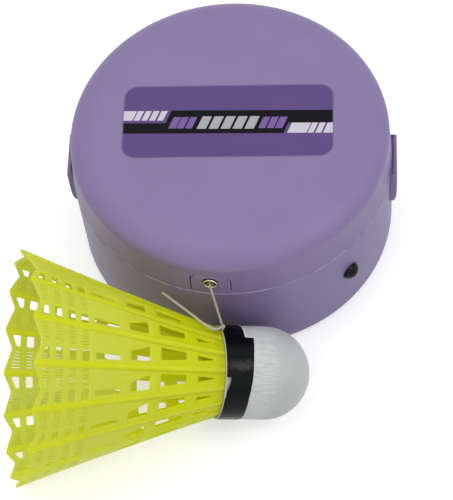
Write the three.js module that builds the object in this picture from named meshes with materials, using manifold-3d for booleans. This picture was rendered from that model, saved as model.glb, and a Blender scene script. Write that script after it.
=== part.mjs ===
// Badminton rebound trainer: a round two-part case with a ballast tank, a cord reel under its lift-off
// lid, and a nylon shuttlecock tied to the cord that leaves the case through a metal eyelet.
// Millimetres, +Z up. The origin is on the case's axis, on the surface it stands on; the eyelet's side is -Y.
import * as THREE from 'three';
import { mergeVertices } from 'three/addons/utils/BufferGeometryUtils.js';
import Module from 'manifold-3d';

const wasm = await Module();
wasm.setup();
const { PI, sin, cos, acos, hypot, atan2, asin, min, max, abs, ceil } = Math;
const degrees = PI / 180;

// Case, outside
const caseRadius = 46;
const caseHeight = 48.8;
const lidHeight = 15.5;
const seamGap = 0.3;
const baseFootInset = 0.3;
const baseFootRound = 3.8;
const lidTopInset = 0.7;
const lidShoulderReach = 9;
const lidShoulderDrop = 5.4;

// Case, walls
const baseWall = 2.2;
const lidWall = 2;
const floorThickness = 2;
const clearance = 0.3;
const overrun = 6;
const mergeDistance = 1e-4;
const caseSides = 56;
const smallSides = 20;
const shuttleSides = 32;

// Anti-slip pad under the base
const padInset = 8;
const padThickness = 1.2;
const padProud = 0.4;

// Register between the base and the lid
const spigotWall = 0.9;
const spigotHeight = 2;

// Tongue of the base that stands up into the lid and carries the eyelet
const tongueAngle = -5.6 * degrees;
const tongueWidth = 10.8;
const tongueCrown = 2.8;
const tongueFootRound = 1.3;
const tongueTopRound = 1.3;

// Eyelet and its inner washer
const eyeletRise = 5.1;
const eyeletBore = 1.35;
const eyeletBarrel = 1.75;
const eyeletFlange = 2.15;
const eyeletFlangeThickness = 0.6;
const eyeletSeatDepth = 0.7;
const eyeletSeatSlack = 0.35;
const eyeletTail = 0.9;
const eyeletWasherRadius = 3;
const eyeletWasherThickness = 0.4;

// Tank cover with the reel's post
const tankCoverThickness = 1.8;
const ledgeWidth = 1.6;
const ledgeThickness = 1.5;
const postRadius = 3.5;
const postShoulderRadius = 5.5;
const postShoulderHeight = 0.8;

// Reel, its screw and the spare cord on it
const reelHubRadius = 10;
const reelFlangeRadius = 27;
const reelFlangeThickness = 1.4;
const reelWidth = 7.4;
const reelHoles = 6;
const reelHoleRadius = 3.6;
const reelHoleInset = 4.6;
const washerRadius = 6;
const washerThickness = 0.8;
const screwThreadRadius = 0.9;
const screwThreadLength = 6.5;
const screwHeadRadius = 2.6;
const screwHeadHeight = 1.6;
const screwHeadroom = 6.4;
const packInset = 6.4;
const packTurns = 4;
const packTurnSteps = 24;
const packCordSides = 6;

// Side latches, their hinge pins and the lid's keeper tabs
const latchWidth = 12.3;
const latchProud = 1.3;
const latchPlate = 2.2;
const latchPinRadius = 0.6;
const latchPinOverhang = 1.3;
const latchKnuckleRadius = 1.5;
const latchPinInset = 1.9;
const latchPinDrop = 10.2;
const latchToe = 0.9;
const latchTaper = 3;
const latchTopChamfer = 0.4;
const latchBlockWall = 2;
const latchBlockSide = 3.2;
const latchBlockDepth = 4;
const keeperWidth = 10;
const keeperThickness = 1.5;
const keeperDrop = 5.8;
const keeperRise = 2.6;

// Fill plug of the ballast tank
const plugAngle = 47.3 * degrees;
const plugDrop = 4.4;
const plugHeadRadius = 2.7;
const plugHeadHeight = 1.9;
const plugStemRadius = 1.8;
const plugTipRadius = 1.5;
const plugStemLength = 4.6;

// Label on the lid
const labelSideMargin = 6.7;
const labelDepth = 24.2;
const labelRound = 4;
const labelThickness = 0.4;
const labelOffsetY = 1.2;

// Shuttlecock: its own axis runs from the skirt's tips to the cork
const feathers = 16;
const rimRadius = 32.9;
const neckInset = 0.6;
const skirtLength = 55.2;
const skirtWall = 0.9;
const skirtFlare = 1.06;
const rimToothDepth = 2.3;
const rimStrip = 1.3;
const firstTipAngle = 16.5 * degrees;
const neckRingLength = 2.6;
const stemTubeInset = 3.7;
const stemTubeWall = 1.1;
const stemTubeLength = 10;
const corkRadius = 13.1;
const corkDomeLength = 12.9;
const corkWaistInset = 1;
const corkLength = 26.9;
const weightRadius = 5;
const weightThickness = 3;
const bandThickness = 0.75;
const bandLength = 7.5;
const shuttleTurn = 6.5 * degrees;

// Cord
const cordRadius = 0.35;
const cordSides = 8;
const tubeStepDiameters = 3;
const mostTubeSteps = 80;
const knotRadius = 0.75;
const knotAngle = 126 * degrees;
const knotPlaceX = -1.47;
const knotOffWall = 7.16;

// Windows of the skirt: where each starts and ends along it, and there its low and high edge between a
// feather's rib and the next one
const windowShares = [
    { start: 0, end: 0.078, startEdges: [0.07, 0.36], endEdges: [0.07, 0.36] },
    { start: 0.114, end: 0.152, startEdges: [0.07, 0.36], endEdges: [0.07, 0.36] },
    { start: 0.183, end: 0.219, startEdges: [0.07, 0.36], endEdges: [0.07, 0.36] },
    { start: 0.255, end: 0.288, startEdges: [0.07, 0.36], endEdges: [0.07, 0.36] },
    { start: 0.33, end: 0.455, startEdges: [0.16, 0.35], endEdges: [0.16, 0.35] },
    { start: 0.507, end: 0.607, startEdges: [0.15, 0.5], endEdges: [0.15, 0.73] },
    { start: 0.661, end: 0.801, startEdges: [0.15, 0.69], endEdges: [0.13, 0.48] },
    { start: 0.862, end: 0.938, startEdges: [0.13, 0.35], endEdges: [0.11, 0.15] },
];

// How far the rim lies back at a feather's tip, past the window beside it and halfway along the vane
const toothShares = [0, 1, 0.5];

// A mesh becomes a solid of merged vertices, without the slivers at a pole
function asSolid(geometry) {
    const bare = geometry.clone();
    bare.deleteAttribute('normal');
    bare.deleteAttribute('uv');
    const merged = mergeVertices(bare, mergeDistance);
    const index = merged.index.array;
    const triVerts = [];
    for (let i = 0; i < index.length; i += 3) {
        const [a, b, c] = [index[i], index[i + 1], index[i + 2]];
        if (a !== b && b !== c && c !== a) triVerts.push(a, b, c);
    }
    const vertProperties = Float32Array.from(merged.attributes.position.array);
    const mesh = new wasm.Mesh({ numProp: 3, vertProperties, triVerts: Uint32Array.from(triVerts) });
    mesh.merge();
    return new wasm.Manifold(mesh);
}

// A solid becomes a three.js geometry again
function asGeometry(solid) {
    const { vertProperties, triVerts, numProp } = solid.getMesh();
    const positions = new Float32Array((vertProperties.length / numProp) * 3);
    for (let i = 0; i < positions.length / 3; i++) {
        for (let k = 0; k < 3; k++) positions[3 * i + k] = vertProperties[numProp * i + k];
    }
    const geometry = new THREE.BufferGeometry();
    geometry.setAttribute('position', new THREE.BufferAttribute(positions, 3));
    geometry.setIndex(new THREE.BufferAttribute(Uint32Array.from(triVerts), 1));
    return geometry;
}

// Turned body about +Z from [radius, height] points that go round the section with the material on the left
function turned(points, sides = caseSides) {
    const profile = points.map(([r, z]) => new THREE.Vector2(r, z));
    const closed = points[0][0] > 0;
    if (closed) profile.push(profile[0].clone());
    return asSolid(new THREE.LatheGeometry(profile, sides).rotateX(PI / 2));
}

// Box from its lowest to its highest corner
function block([x0, y0, z0], [x1, y1, z1]) {
    const geometry = new THREE.BoxGeometry(x1 - x0, y1 - y0, z1 - z0);
    return asSolid(geometry.translate((x0 + x1) / 2, (y0 + y1) / 2, (z0 + z1) / 2));
}

// Rod of a given radius along +Z
function rod(radius, z0, z1, sides = smallSides) {
    return turned([[0, z0], [radius, z0], [radius, z1], [0, z1]], sides);
}

// Points of an arc, in the plane of a section
function arc(cx, cy, rx, ry, from, to, steps) {
    const points = [];
    for (let i = 0; i <= steps; i++) {
        const t = from + ((to - from) * i) / steps;
        points.push([cx + rx * cos(t), cy + ry * sin(t)]);
    }
    return points;
}

// A flat outline pulled along +Z
function pulled(points, depth) {
    const shape = new THREE.Shape(points.map(([x, y]) => new THREE.Vector2(x, y)));
    return asSolid(new THREE.ExtrudeGeometry(shape, { depth, bevelEnabled: false }));
}

// Tube along a list of points; its ends are square to the line
function tube(points, radius, sides) {
    const curve = new THREE.CatmullRomCurve3(points, false, 'centripetal');
    const section = new THREE.Shape();
    for (let i = 0; i < sides; i++) {
        const t = (2 * PI * i) / sides;
        if (i === 0) section.moveTo(radius * cos(t), radius * sin(t));
        else section.lineTo(radius * cos(t), radius * sin(t));
    }
    const steps = min(mostTubeSteps, ceil(curve.getLength() / (2 * radius * tubeStepDiameters)));
    return asSolid(new THREE.ExtrudeGeometry(section, { steps, extrudePath: curve, bevelEnabled: false }));
}

// Places about the case's axis: an angle of 0 is the front, -Y, and it grows towards +X
function radial(angle, radius, height) {
    return new THREE.Vector3(radius * sin(angle), -radius * cos(angle), height);
}

// A solid made along +Z, laid along the outward radius at an angle and a height of the case
function laidOutward(solid, angle, height) {
    const turn = new THREE.Matrix4().makeRotationZ(angle);
    turn.multiply(new THREE.Matrix4().makeTranslation(0, 0, height));
    turn.multiply(new THREE.Matrix4().makeRotationX(PI / 2));
    return solid.transform(turn.elements);
}

const trainer = new THREE.Group();
trainer.name = 'badminton_rebound_trainer';

const materials = {
    lavender: { color: 0x8a7aa8, roughness: 0.55, metalness: 0 },
    labelPurple: { color: 0x68548a, roughness: 0.35, metalness: 0 },
    darkRubber: { color: 0x161618, roughness: 0.5, metalness: 0 },
    footPad: { color: 0x2a2a2c, roughness: 0.9, metalness: 0 },
    steel: { color: 0xb9bbbd, roughness: 0.25, metalness: 1 },
    eyeletMetal: { color: 0xd8cfa8, roughness: 0.25, metalness: 1 },
    whitePlastic: { color: 0xd9d9d6, roughness: 0.45, metalness: 0 },
    yellowNylon: { color: 0xd2da28, roughness: 0.4, metalness: 0 },
    corkSkin: { color: 0xc4c6c8, roughness: 0.6, metalness: 0 },
    blackTape: { color: 0x0d0e10, roughness: 0.2, metalness: 0 },
    cord: { color: 0xc9c4ae, roughness: 0.5, metalness: 0 },
};

function add(name, solid, look, parent = trainer) {
    const mesh = new THREE.Mesh(asGeometry(solid), new THREE.MeshStandardMaterial(materials[look]));
    mesh.name = name;
    parent.add(mesh);
    return mesh;
}

// Heights and radii that several pieces share
const seamHeight = caseHeight - lidHeight;
const rimTop = seamHeight;
const lidBottom = seamHeight + seamGap;
const baseFootRadius = caseRadius - baseFootInset;
const lidTopRadius = caseRadius - lidTopInset;
const padRadius = caseRadius - padInset;
const shoulderStart = caseHeight - lidShoulderDrop;
const baseInner = caseRadius - baseWall;
const lidInner = caseRadius - lidWall;
const innerRound = baseFootRound - baseWall;
const floorUnder = padThickness;
const floorTop = floorUnder + floorThickness;
const eyeletHeight = seamHeight + eyeletRise;
const tongueTop = eyeletHeight + tongueCrown;
const spigotOuter = baseInner + spigotWall;
const latchPinReach = caseRadius - latchPinInset;
const latchPinHeight = seamHeight - latchPinDrop;
const latchOuter = caseRadius + latchProud;
const latchInner = latchOuter - latchPlate;
const recessFloor = latchPinReach - latchKnuckleRadius - clearance;
const recessHalf = latchWidth / 2 + clearance;
const recessBottom = latchPinHeight - latchKnuckleRadius - 2 * clearance;
const blockInner = recessFloor - latchBlockWall;
const blockHalf = recessHalf + latchBlockSide;
const blockBottom = recessBottom - latchBlockDepth;

// Heights of the tank cover and the reel, counted down from the lid's ceiling
const screwTop = caseHeight - lidWall - screwHeadroom;
const postTop = screwTop - screwHeadHeight - washerThickness;
const screwTip = postTop - screwThreadLength;
const reelTop = postTop - clearance;
const hubTop = reelTop - reelFlangeThickness;
const hubBottom = hubTop - reelWidth;
const reelBottom = hubBottom - reelFlangeThickness;
const postShoulderTop = reelBottom - clearance;
const coverTop = postShoulderTop - postShoulderHeight;
const tankCoverHeight = coverTop - tankCoverThickness;
const plugHeight = tankCoverHeight - plugDrop;
const reelHoleCircle = reelFlangeRadius - reelHoleInset;
const packRadius = reelFlangeRadius - packInset;

// Outer radius of the lid's upright wall, and of the tongue that is flush with it
const lidRadiusAt = (z) => caseRadius
    - ((caseRadius - lidTopRadius) * max(0, z - seamHeight)) / (shoulderStart - seamHeight);

// Outline of the tongue across its width and up; grown by a gap it is the notch in the lid
function tongueOutline(grow, foot) {
    const half = tongueWidth / 2 + grow;
    const top = tongueTop + grow;
    const footRound = tongueFootRound - grow;
    const topRound = tongueTopRound + grow;
    const right = [
        [half + footRound, foot],
        ...arc(half + footRound, rimTop + tongueFootRound, footRound, footRound, 1.5 * PI, PI, 4),
        ...arc(half - topRound, top - topRound, topRound, topRound, 0, PI / 2, 4),
    ];
    const left = right.map(([x, z]) => [-x, z]).reverse();
    return [...left, ...right].reverse();
}
function tonguePrism(grow, foot, from, to) {
    return laidOutward(pulled(tongueOutline(grow, foot), to - from).translate(0, 0, from), tongueAngle, 0);
}

// Base shell: cup with a pad recess, a ledge for the tank cover, the spigot, the tongue and latch seats
function baseShell() {
    const cup = turned([
        [0, floorUnder],
        [padRadius + clearance, floorUnder],
        [padRadius + clearance, padProud],
        ...arc(baseFootRadius - baseFootRound, padProud + baseFootRound, baseFootRound, baseFootRound,
            -PI / 2, 0, 3),
        [caseRadius, rimTop],
        [spigotOuter, rimTop],
        [spigotOuter, rimTop + spigotHeight],
        [baseInner, rimTop + spigotHeight],
        [baseInner, tankCoverHeight],
        [baseInner - ledgeWidth, tankCoverHeight],
        [baseInner - ledgeWidth, tankCoverHeight - ledgeThickness],
        [baseInner, tankCoverHeight - ledgeThickness - ledgeWidth],
        ...arc(baseInner - innerRound, floorTop + innerRound, innerRound, innerRound, 0, -PI / 2, 2),
        [0, floorTop],
    ]);
    const tongueRing = turned([
        [baseInner, rimTop - ledgeThickness],
        [caseRadius, rimTop - ledgeThickness],
        [caseRadius, rimTop],
        [lidRadiusAt(tongueTop), tongueTop],
        [lidRadiusAt(tongueTop + clearance), tongueTop + clearance],
        [baseInner, tongueTop + clearance],
    ]);
    const tongue = tongueRing.intersect(
        tonguePrism(0, rimTop - ledgeThickness, lidInner / 2, caseRadius + overrun));
    const eyeletHole = rod(eyeletBarrel + clearance, lidInner / 2, caseRadius + overrun);
    const eyeletSeat = rod(eyeletFlange + eyeletSeatSlack, lidRadiusAt(eyeletHeight) - eyeletSeatDepth,
        caseRadius + overrun);
    const plugHole = rod(plugStemRadius + clearance, lidInner / 2, caseRadius + overrun);
    let shell = cup.add(tongue);
    for (const side of [1, -1]) shell = shell.add(latchSeat(side));
    shell = shell.subtract(laidOutward(eyeletHole, tongueAngle, eyeletHeight));
    shell = shell.subtract(laidOutward(eyeletSeat, tongueAngle, eyeletHeight + eyeletSeatSlack / 2));
    shell = shell.subtract(laidOutward(plugHole, plugAngle, plugHeight));
    for (const side of [1, -1]) shell = shell.subtract(latchRecess(side)).subtract(latchPinHole(side));
    return shell;
}

// Block inside the wall that a latch is let into, for the side +X or -X
function latchSeat(side) {
    const seat = block([blockInner, -blockHalf, blockBottom], [caseRadius - baseWall / 2, blockHalf, rimTop]);
    const within = turned([[0, floorUnder], [caseRadius - baseWall / 2, floorUnder],
        [caseRadius - baseWall / 2, rimTop], [0, rimTop]]);
    return mirrored(seat.intersect(within), side);
}
function latchRecess(side) {
    return mirrored(block([recessFloor, -recessHalf, recessBottom],
        [caseRadius + overrun, recessHalf, rimTop + overrun]), side);
}
function latchPinHole(side) {
    const length = recessHalf + latchPinOverhang + clearance;
    const hole = rod(latchPinRadius + clearance, -length, length, smallSides / 2);
    return mirrored(hole.rotate([90, 0, 0]).translate([latchPinReach, 0, latchPinHeight]), side);
}
function mirrored(solid, side) {
    return side > 0 ? solid : solid.rotate([0, 0, 180]);
}

// Tank cover: lid of the ballast tank, floor of the cord store and post of the reel
function tankCover() {
    const cover = turned([
        [0, tankCoverHeight],
        [baseInner - clearance, tankCoverHeight],
        [baseInner - clearance, coverTop],
        [postShoulderRadius, coverTop],
        [postShoulderRadius, postShoulderTop],
        [postRadius, postShoulderTop],
        [postRadius, postTop],
        [screwThreadRadius + clearance, postTop],
        [screwThreadRadius + clearance, screwTip - clearance],
        [0, screwTip - clearance],
    ]);
    const reach = [blockInner - clearance, blockHalf + clearance];
    const notch = block([reach[0], -reach[1], tankCoverHeight - overrun],
        [caseRadius + overrun, reach[1], coverTop + overrun]);
    return cover.subtract(notch).subtract(mirrored(notch, -1));
}

// Reel: lower flange with hub, upper flange as a separate disc, both with lightening holes
function reelSpool() {
    return flangeHoles(turned([
        [postRadius + clearance, reelBottom],
        [reelFlangeRadius, reelBottom],
        [reelFlangeRadius, hubBottom],
        [reelHubRadius, hubBottom],
        [reelHubRadius, hubTop],
        [postRadius + clearance, hubTop],
    ], caseSides / 2));
}
function reelCap() {
    return flangeHoles(turned([
        [postRadius + clearance, hubTop],
        [reelFlangeRadius, hubTop],
        [reelFlangeRadius, reelTop],
        [postRadius + clearance, reelTop],
    ], caseSides / 2));
}
function flangeHoles(solid) {
    let cut = solid;
    for (let i = 0; i < reelHoles; i++) {
        const t = (2 * PI * i) / reelHoles;
        const hole = rod(reelHoleRadius, reelBottom - overrun, reelTop + overrun, smallSides / 2);
        cut = cut.subtract(hole.translate([reelHoleCircle * cos(t), reelHoleCircle * sin(t), 0]));
    }
    return cut;
}

// Spare cord: a plain core of wound layers, and its outer layer as one unbroken tube
const turnRadius = packRadius + clearance + cordRadius;
const turnLow = hubBottom + clearance + cordRadius;
const turnHigh = hubTop - clearance - cordRadius;
function packCore() {
    return turned([
        [reelHubRadius + clearance, hubBottom + clearance],
        [packRadius, hubBottom + clearance],
        [packRadius, hubTop - clearance],
        [reelHubRadius + clearance, hubTop - clearance],
    ], caseSides / 2);
}
function outerTurns() {
    const steps = packTurns * packTurnSteps;
    const centre = (s) => {
        const t = 2 * PI * packTurns * s;
        const height = turnLow + (turnHigh - turnLow) * s;
        return new THREE.Vector3(turnRadius * cos(t), turnRadius * sin(t), height);
    };
    let nearest = Infinity;
    for (let i = 0; i <= steps; i++) {
        for (let j = i + packTurnSteps / 2; j <= steps; j++) {
            nearest = min(nearest, centre(i / steps).distanceTo(centre(j / steps)));
        }
    }
    console.log(`outer cord layer: least gap to itself ${(nearest - 2 * cordRadius).toFixed(2)} mm`);
    const positions = [];
    const index = [];
    for (let i = 0; i <= steps; i++) {
        const p = centre(i / steps);
        const out = new THREE.Vector3(p.x, p.y, 0).normalize();
        for (let k = 0; k < packCordSides; k++) {
            const t = (2 * PI * k) / packCordSides;
            const q = p.clone().addScaledVector(out, cordRadius * cos(t));
            positions.push(q.x, q.y, q.z + cordRadius * sin(t));
        }
    }
    for (let i = 0; i < steps; i++) {
        for (let k = 0; k < packCordSides; k++) {
            const a = i * packCordSides + k;
            const b = i * packCordSides + ((k + 1) % packCordSides);
            index.push(a, a + packCordSides, b, b, a + packCordSides, b + packCordSides);
        }
    }
    const last = steps * packCordSides;
    for (let k = 1; k < packCordSides - 1; k++) {
        index.push(0, k, k + 1, last, last + k + 1, last + k);
    }
    const geometry = new THREE.BufferGeometry();
    geometry.setAttribute('position', new THREE.Float32BufferAttribute(positions, 3));
    geometry.setIndex(index);
    return asSolid(geometry);
}

// Screw and washer that keep the reel on its post
function reelWasher() {
    return turned([
        [screwThreadRadius + clearance, postTop],
        [washerRadius, postTop],
        [washerRadius, postTop + washerThickness],
        [screwThreadRadius + clearance, postTop + washerThickness],
    ], smallSides);
}
function reelScrew() {
    const seat = postTop + washerThickness;
    return turned([
        [0, screwTip],
        [screwThreadRadius, screwTip],
        [screwThreadRadius, seat],
        [screwHeadRadius, seat],
        ...arc(0, seat + screwHeadHeight / 2, screwHeadRadius, screwHeadHeight / 2, 0, PI / 2, 4),
    ], smallSides);
}

// Lid: cup turned over, with the rebate for the spigot, the notch for the tongue and two keeper tabs
const labelWidth = 2 * (lidTopRadius - lidShoulderReach - labelSideMargin);
function lidShell() {
    const rebate = spigotOuter + clearance;
    const rebateTop = rimTop + spigotHeight + clearance;
    const innerReach = lidShoulderReach - lidWall / 2;
    const innerDrop = lidShoulderDrop - lidWall / 2;
    const ceiling = caseHeight - lidWall;
    const innerTopRadius = lidTopRadius - lidWall;
    const shell = turned([
        [rebate, lidBottom],
        [caseRadius, lidBottom],
        ...arc(lidTopRadius - lidShoulderReach, shoulderStart, lidShoulderReach, lidShoulderDrop,
            0, PI / 2, 6),
        [0, caseHeight],
        [0, ceiling],
        ...arc(innerTopRadius - innerReach, ceiling - innerDrop, innerReach, innerDrop, PI / 2, 0, 3),
        [lidInner, rebateTop],
        [rebate, rebateTop],
    ]);
    const keeperOuter = latchInner - clearance;
    const keeper = block([keeperOuter - keeperThickness, -keeperWidth / 2, rimTop - keeperDrop],
        [keeperOuter, keeperWidth / 2, rebateTop + keeperRise]);
    const recess = pulled(roundedRectangle(labelWidth + 2 * clearance, labelDepth + 2 * clearance,
        labelRound + clearance), overrun).translate(0, labelOffsetY, caseHeight - labelThickness);
    let lid = shell.add(keeper).add(mirrored(keeper, -1));
    lid = lid.subtract(tonguePrism(clearance, rimTop - overrun, lidInner / 2, caseRadius + overrun));
    return lid.subtract(recess);
}
function roundedRectangle(width, depth, round) {
    const [x, y] = [width / 2 - round, depth / 2 - round];
    return [
        ...arc(x, y, round, round, 0, PI / 2, 5),
        ...arc(-x, y, round, round, PI / 2, PI, 5),
        ...arc(-x, -y, round, round, PI, 1.5 * PI, 5),
        ...arc(x, -y, round, round, 1.5 * PI, 2 * PI, 5),
    ];
}
function label() {
    return pulled(roundedRectangle(labelWidth, labelDepth, labelRound), labelThickness)
        .translate(0, labelOffsetY, caseHeight - labelThickness);
}

// Latch: plate on a knuckle, tapered into the wall at its foot
function latch(side) {
    const knuckle = arc(latchPinReach, latchPinHeight, latchKnuckleRadius, latchKnuckleRadius,
        1.5 * PI, PI / 2, 8);
    const outline = [
        ...knuckle,
        [latchInner, latchPinHeight + latchKnuckleRadius + (latchInner - latchPinReach)],
        [latchInner, rimTop],
        [latchOuter - latchTopChamfer, rimTop],
        [latchOuter, rimTop - latchTopChamfer],
        [latchOuter, latchPinHeight - latchKnuckleRadius + latchTaper],
        [latchPinReach + latchToe, latchPinHeight - latchKnuckleRadius],
    ].reverse();
    const plate = pulled(outline, latchWidth).translate(0, 0, -latchWidth / 2).rotate([90, 0, 0]);
    const hole = rod(latchPinRadius + clearance, -latchWidth, latchWidth, smallSides / 2)
        .rotate([90, 0, 0]).translate([latchPinReach, 0, latchPinHeight]);
    return mirrored(plate.subtract(hole), side);
}
function latchPin(side) {
    const half = recessHalf + latchPinOverhang;
    const pin = rod(latchPinRadius, -half, half, smallSides / 2).rotate([90, 0, 0]);
    return mirrored(pin.translate([latchPinReach, 0, latchPinHeight]), side);
}

// Fill plug: domed head outside the wall and a tapered stem in its hole
function fillPlug() {
    const seat = caseRadius + clearance;
    return laidOutward(turned([
        [0, seat - plugStemLength],
        [plugTipRadius, seat - plugStemLength],
        [plugStemRadius, seat],
        [plugHeadRadius, seat],
        ...arc(0, seat + clearance, plugHeadRadius, plugHeadHeight - clearance, 0, PI / 2, 5),
    ], smallSides), plugAngle, plugHeight);
}

// Eyelet through the tongue, and the washer behind it
const eyeletFace = lidRadiusAt(eyeletHeight) - eyeletSeatDepth + clearance + eyeletFlangeThickness;
const eyeletBack = baseInner - clearance - eyeletWasherThickness - eyeletTail;
function eyelet() {
    const flangeBack = eyeletFace - eyeletFlangeThickness;
    return laidOutward(turned([
        [eyeletBore, eyeletBack],
        [eyeletBarrel, eyeletBack],
        [eyeletBarrel, flangeBack],
        [eyeletFlange, flangeBack],
        ...arc((eyeletBore + eyeletFlange) / 2, flangeBack + eyeletFlangeThickness / 2,
            (eyeletFlange - eyeletBore) / 2, eyeletFlangeThickness / 2, 0, PI, 5),
    ], smallSides), tongueAngle, eyeletHeight);
}
function eyeletWasher() {
    const outer = baseInner - clearance;
    return laidOutward(turned([
        [eyeletBarrel + clearance, outer - eyeletWasherThickness],
        [eyeletWasherRadius, outer - eyeletWasherThickness],
        [eyeletWasherRadius, outer],
        [eyeletBarrel + clearance, outer],
    ], smallSides), tongueAngle, eyeletHeight);
}

// The shuttlecock lies on its skirt and its cork, so its tilt follows from their radii, and it lies where its
// knot comes to its place in front of the eyelet
const shuttleLength = skirtLength + corkLength;
const neckRadius = corkRadius - neckInset;
const stemTubeRadius = corkRadius - stemTubeInset;
const corkNeckRadius = corkRadius - corkWaistInset;
const corkCentre = shuttleLength - corkDomeLength;
const corkStart = skirtLength + clearance;
const tieMiddle = corkStart + cordRadius;
const knotCentre = corkNeckRadius + clearance + bandThickness / 2 + cordRadius + knotRadius;
const tipBelow = rimRadius * cos(nearestTipOffset());
const restTilt = atan2(tipBelow, corkCentre) - asin(corkRadius / hypot(corkCentre, tipBelow));
const shuttleAxis = new THREE.Vector3(cos(restTilt) * cos(shuttleTurn), cos(restTilt) * sin(shuttleTurn),
    -sin(restTilt));
const shuttleSide = new THREE.Vector3().crossVectors(shuttleAxis, new THREE.Vector3(0, 0, 1)).normalize();
const shuttleUp = new THREE.Vector3().crossVectors(shuttleSide, shuttleAxis);
const shuttle = new THREE.Group();
shuttle.applyMatrix4(new THREE.Matrix4().makeBasis(shuttleSide, shuttleUp, shuttleAxis.clone().negate()));
shuttle.updateMatrixWorld(true);
const inShuttle = (angle, radius, t) => new THREE.Vector3(radius * cos(angle), radius * sin(angle), -t);
const knotTurned = inShuttle(knotAngle, knotCentre, tieMiddle).applyMatrix4(shuttle.matrixWorld);
const knotPlaceY = -(caseRadius + knotOffWall);
shuttle.position.set(knotPlaceX - knotTurned.x, knotPlaceY - knotTurned.y, tipBelow * cos(restTilt));
shuttle.updateMatrixWorld(true);
const knotPlace = knotTurned.clone().add(shuttle.position);
trainer.add(shuttle);

// Angle between the lowest tip of the rim and straight down
function nearestTipOffset() {
    const pitch = (2 * PI) / feathers;
    const steps = Math.round((1.5 * PI - firstTipAngle) / pitch);
    return abs(1.5 * PI - firstTipAngle - steps * pitch);
}

// Inside the shuttle's group the skirt's tips are at z = 0 and the cork at -z, as the frame is right-handed
const skirtRadiusAt = (t) => neckRadius
    + (rimRadius - neckRadius) * (max(0, 1 - t / skirtLength) ** skirtFlare);

// Skirt: a lattice on a cone, one cell wide for each window and two for each feather
function skirt() {
    const pitch = (2 * PI) / feathers;
    const rows = [];
    for (const w of windowShares) {
        rows.push({ t: w.start * skirtLength, edges: w.startEdges, open: true });
        rows.push({ t: w.end * skirtLength, edges: w.endEdges, open: false });
    }
    rows.push({ t: skirtLength, edges: windowShares.at(-1).startEdges, open: false });
    rows.unshift({ t: 0, edges: windowShares[0].startEdges, open: false, rim: true });
    const columns = feathers * 3;
    const place = (row, column, inside) => {
        const feather = Math.floor(column / 3);
        const edge = column % 3;
        const [low, high] = row.edges;
        const angle = firstTipAngle + (feather + [low, high, (low + 1 + high) / 2][edge]) * pitch;
        const tooth = rimToothDepth * toothShares[edge];
        let t = row.t;
        if (row.rim) t = tooth;
        if (row.t === 0 && !row.rim) t = tooth + rimStrip;
        const r = skirtRadiusAt(t) - (inside ? skirtWall : 0);
        return [r * cos(angle), r * sin(angle), -t];
    };
    const positions = [];
    for (const inside of [false, true]) {
        for (const row of rows) {
            for (let c = 0; c < columns; c++) positions.push(...place(row, c, inside));
        }
    }
    const point = (r, c, inside) => (inside ? rows.length * columns : 0) + r * columns + (c % columns);
    const full = (r, c) => r >= 0 && r < rows.length - 1 && !(rows[r].open && (c + columns) % 3 === 0);
    const index = [];
    const quad = (a, b, c, d) => index.push(a, b, c, a, c, d);
    for (let r = 0; r < rows.length - 1; r++) {
        for (let c = 0; c < columns; c++) {
            if (!full(r, c)) continue;
            quad(point(r, c), point(r + 1, c), point(r + 1, c + 1), point(r, c + 1));
            quad(point(r, c, true), point(r, c + 1, true), point(r + 1, c + 1, true), point(r + 1, c, true));
            if (!full(r - 1, c)) quad(point(r, c, true), point(r, c), point(r, c + 1), point(r, c + 1, true));
            if (!full(r + 1, c)) {
                quad(point(r + 1, c + 1, true), point(r + 1, c + 1), point(r + 1, c), point(r + 1, c, true));
            }
            if (!full(r, c - 1)) quad(point(r + 1, c, true), point(r + 1, c), point(r, c), point(r, c, true));
            if (!full(r, c + 1)) {
                quad(point(r, c + 1, true), point(r, c + 1), point(r + 1, c + 1), point(r + 1, c + 1, true));
            }
        }
    }
    const geometry = new THREE.BufferGeometry();
    geometry.setAttribute('position', new THREE.Float32BufferAttribute(positions, 3));
    geometry.setIndex(index);
    const lattice = asSolid(geometry);
    const neckInner = stemTubeRadius - stemTubeWall;
    const ringStart = skirtLength - neckRingLength;
    const neck = turned([
        [neckInner, -(skirtLength + stemTubeLength)],
        [stemTubeRadius, -(skirtLength + stemTubeLength)],
        [stemTubeRadius, -skirtLength],
        [neckRadius - clearance, -skirtLength],
        [neckRadius - clearance, -ringStart],
        [neckInner, -ringStart],
    ], shuttleSides);
    return lattice.add(neck);
}

// Cork: a domed head with a waist for the tape and a bore for the skirt's stem
const bandStart = tieMiddle + cordRadius + 2 * clearance;
const bandEnd = bandStart + bandLength;
const boreEnd = skirtLength + stemTubeLength + clearance;
function cork() {
    const bore = stemTubeRadius + clearance;
    const waistEnd = bandEnd + clearance;
    return turned([
        ...arc(0, -corkCentre, corkRadius, corkDomeLength, -PI / 2, 0, 7),
        [corkRadius, -waistEnd],
        [corkNeckRadius, -waistEnd],
        [corkNeckRadius, -corkStart],
        [bore, -corkStart],
        [bore, -boreEnd],
        [weightRadius + clearance, -boreEnd],
        [weightRadius + clearance, -(boreEnd + weightThickness + clearance)],
        [0, -(boreEnd + weightThickness + clearance)],
    ], shuttleSides);
}
function noseWeight() {
    return rod(weightRadius, -(boreEnd + weightThickness), -boreEnd);
}
function tapeBand() {
    return turned([
        [corkNeckRadius + clearance, -bandEnd],
        [corkNeckRadius + clearance + bandThickness, -bandEnd],
        [corkNeckRadius + clearance + bandThickness, -bandStart],
        [corkNeckRadius + clearance, -bandStart],
    ], shuttleSides);
}

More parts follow.
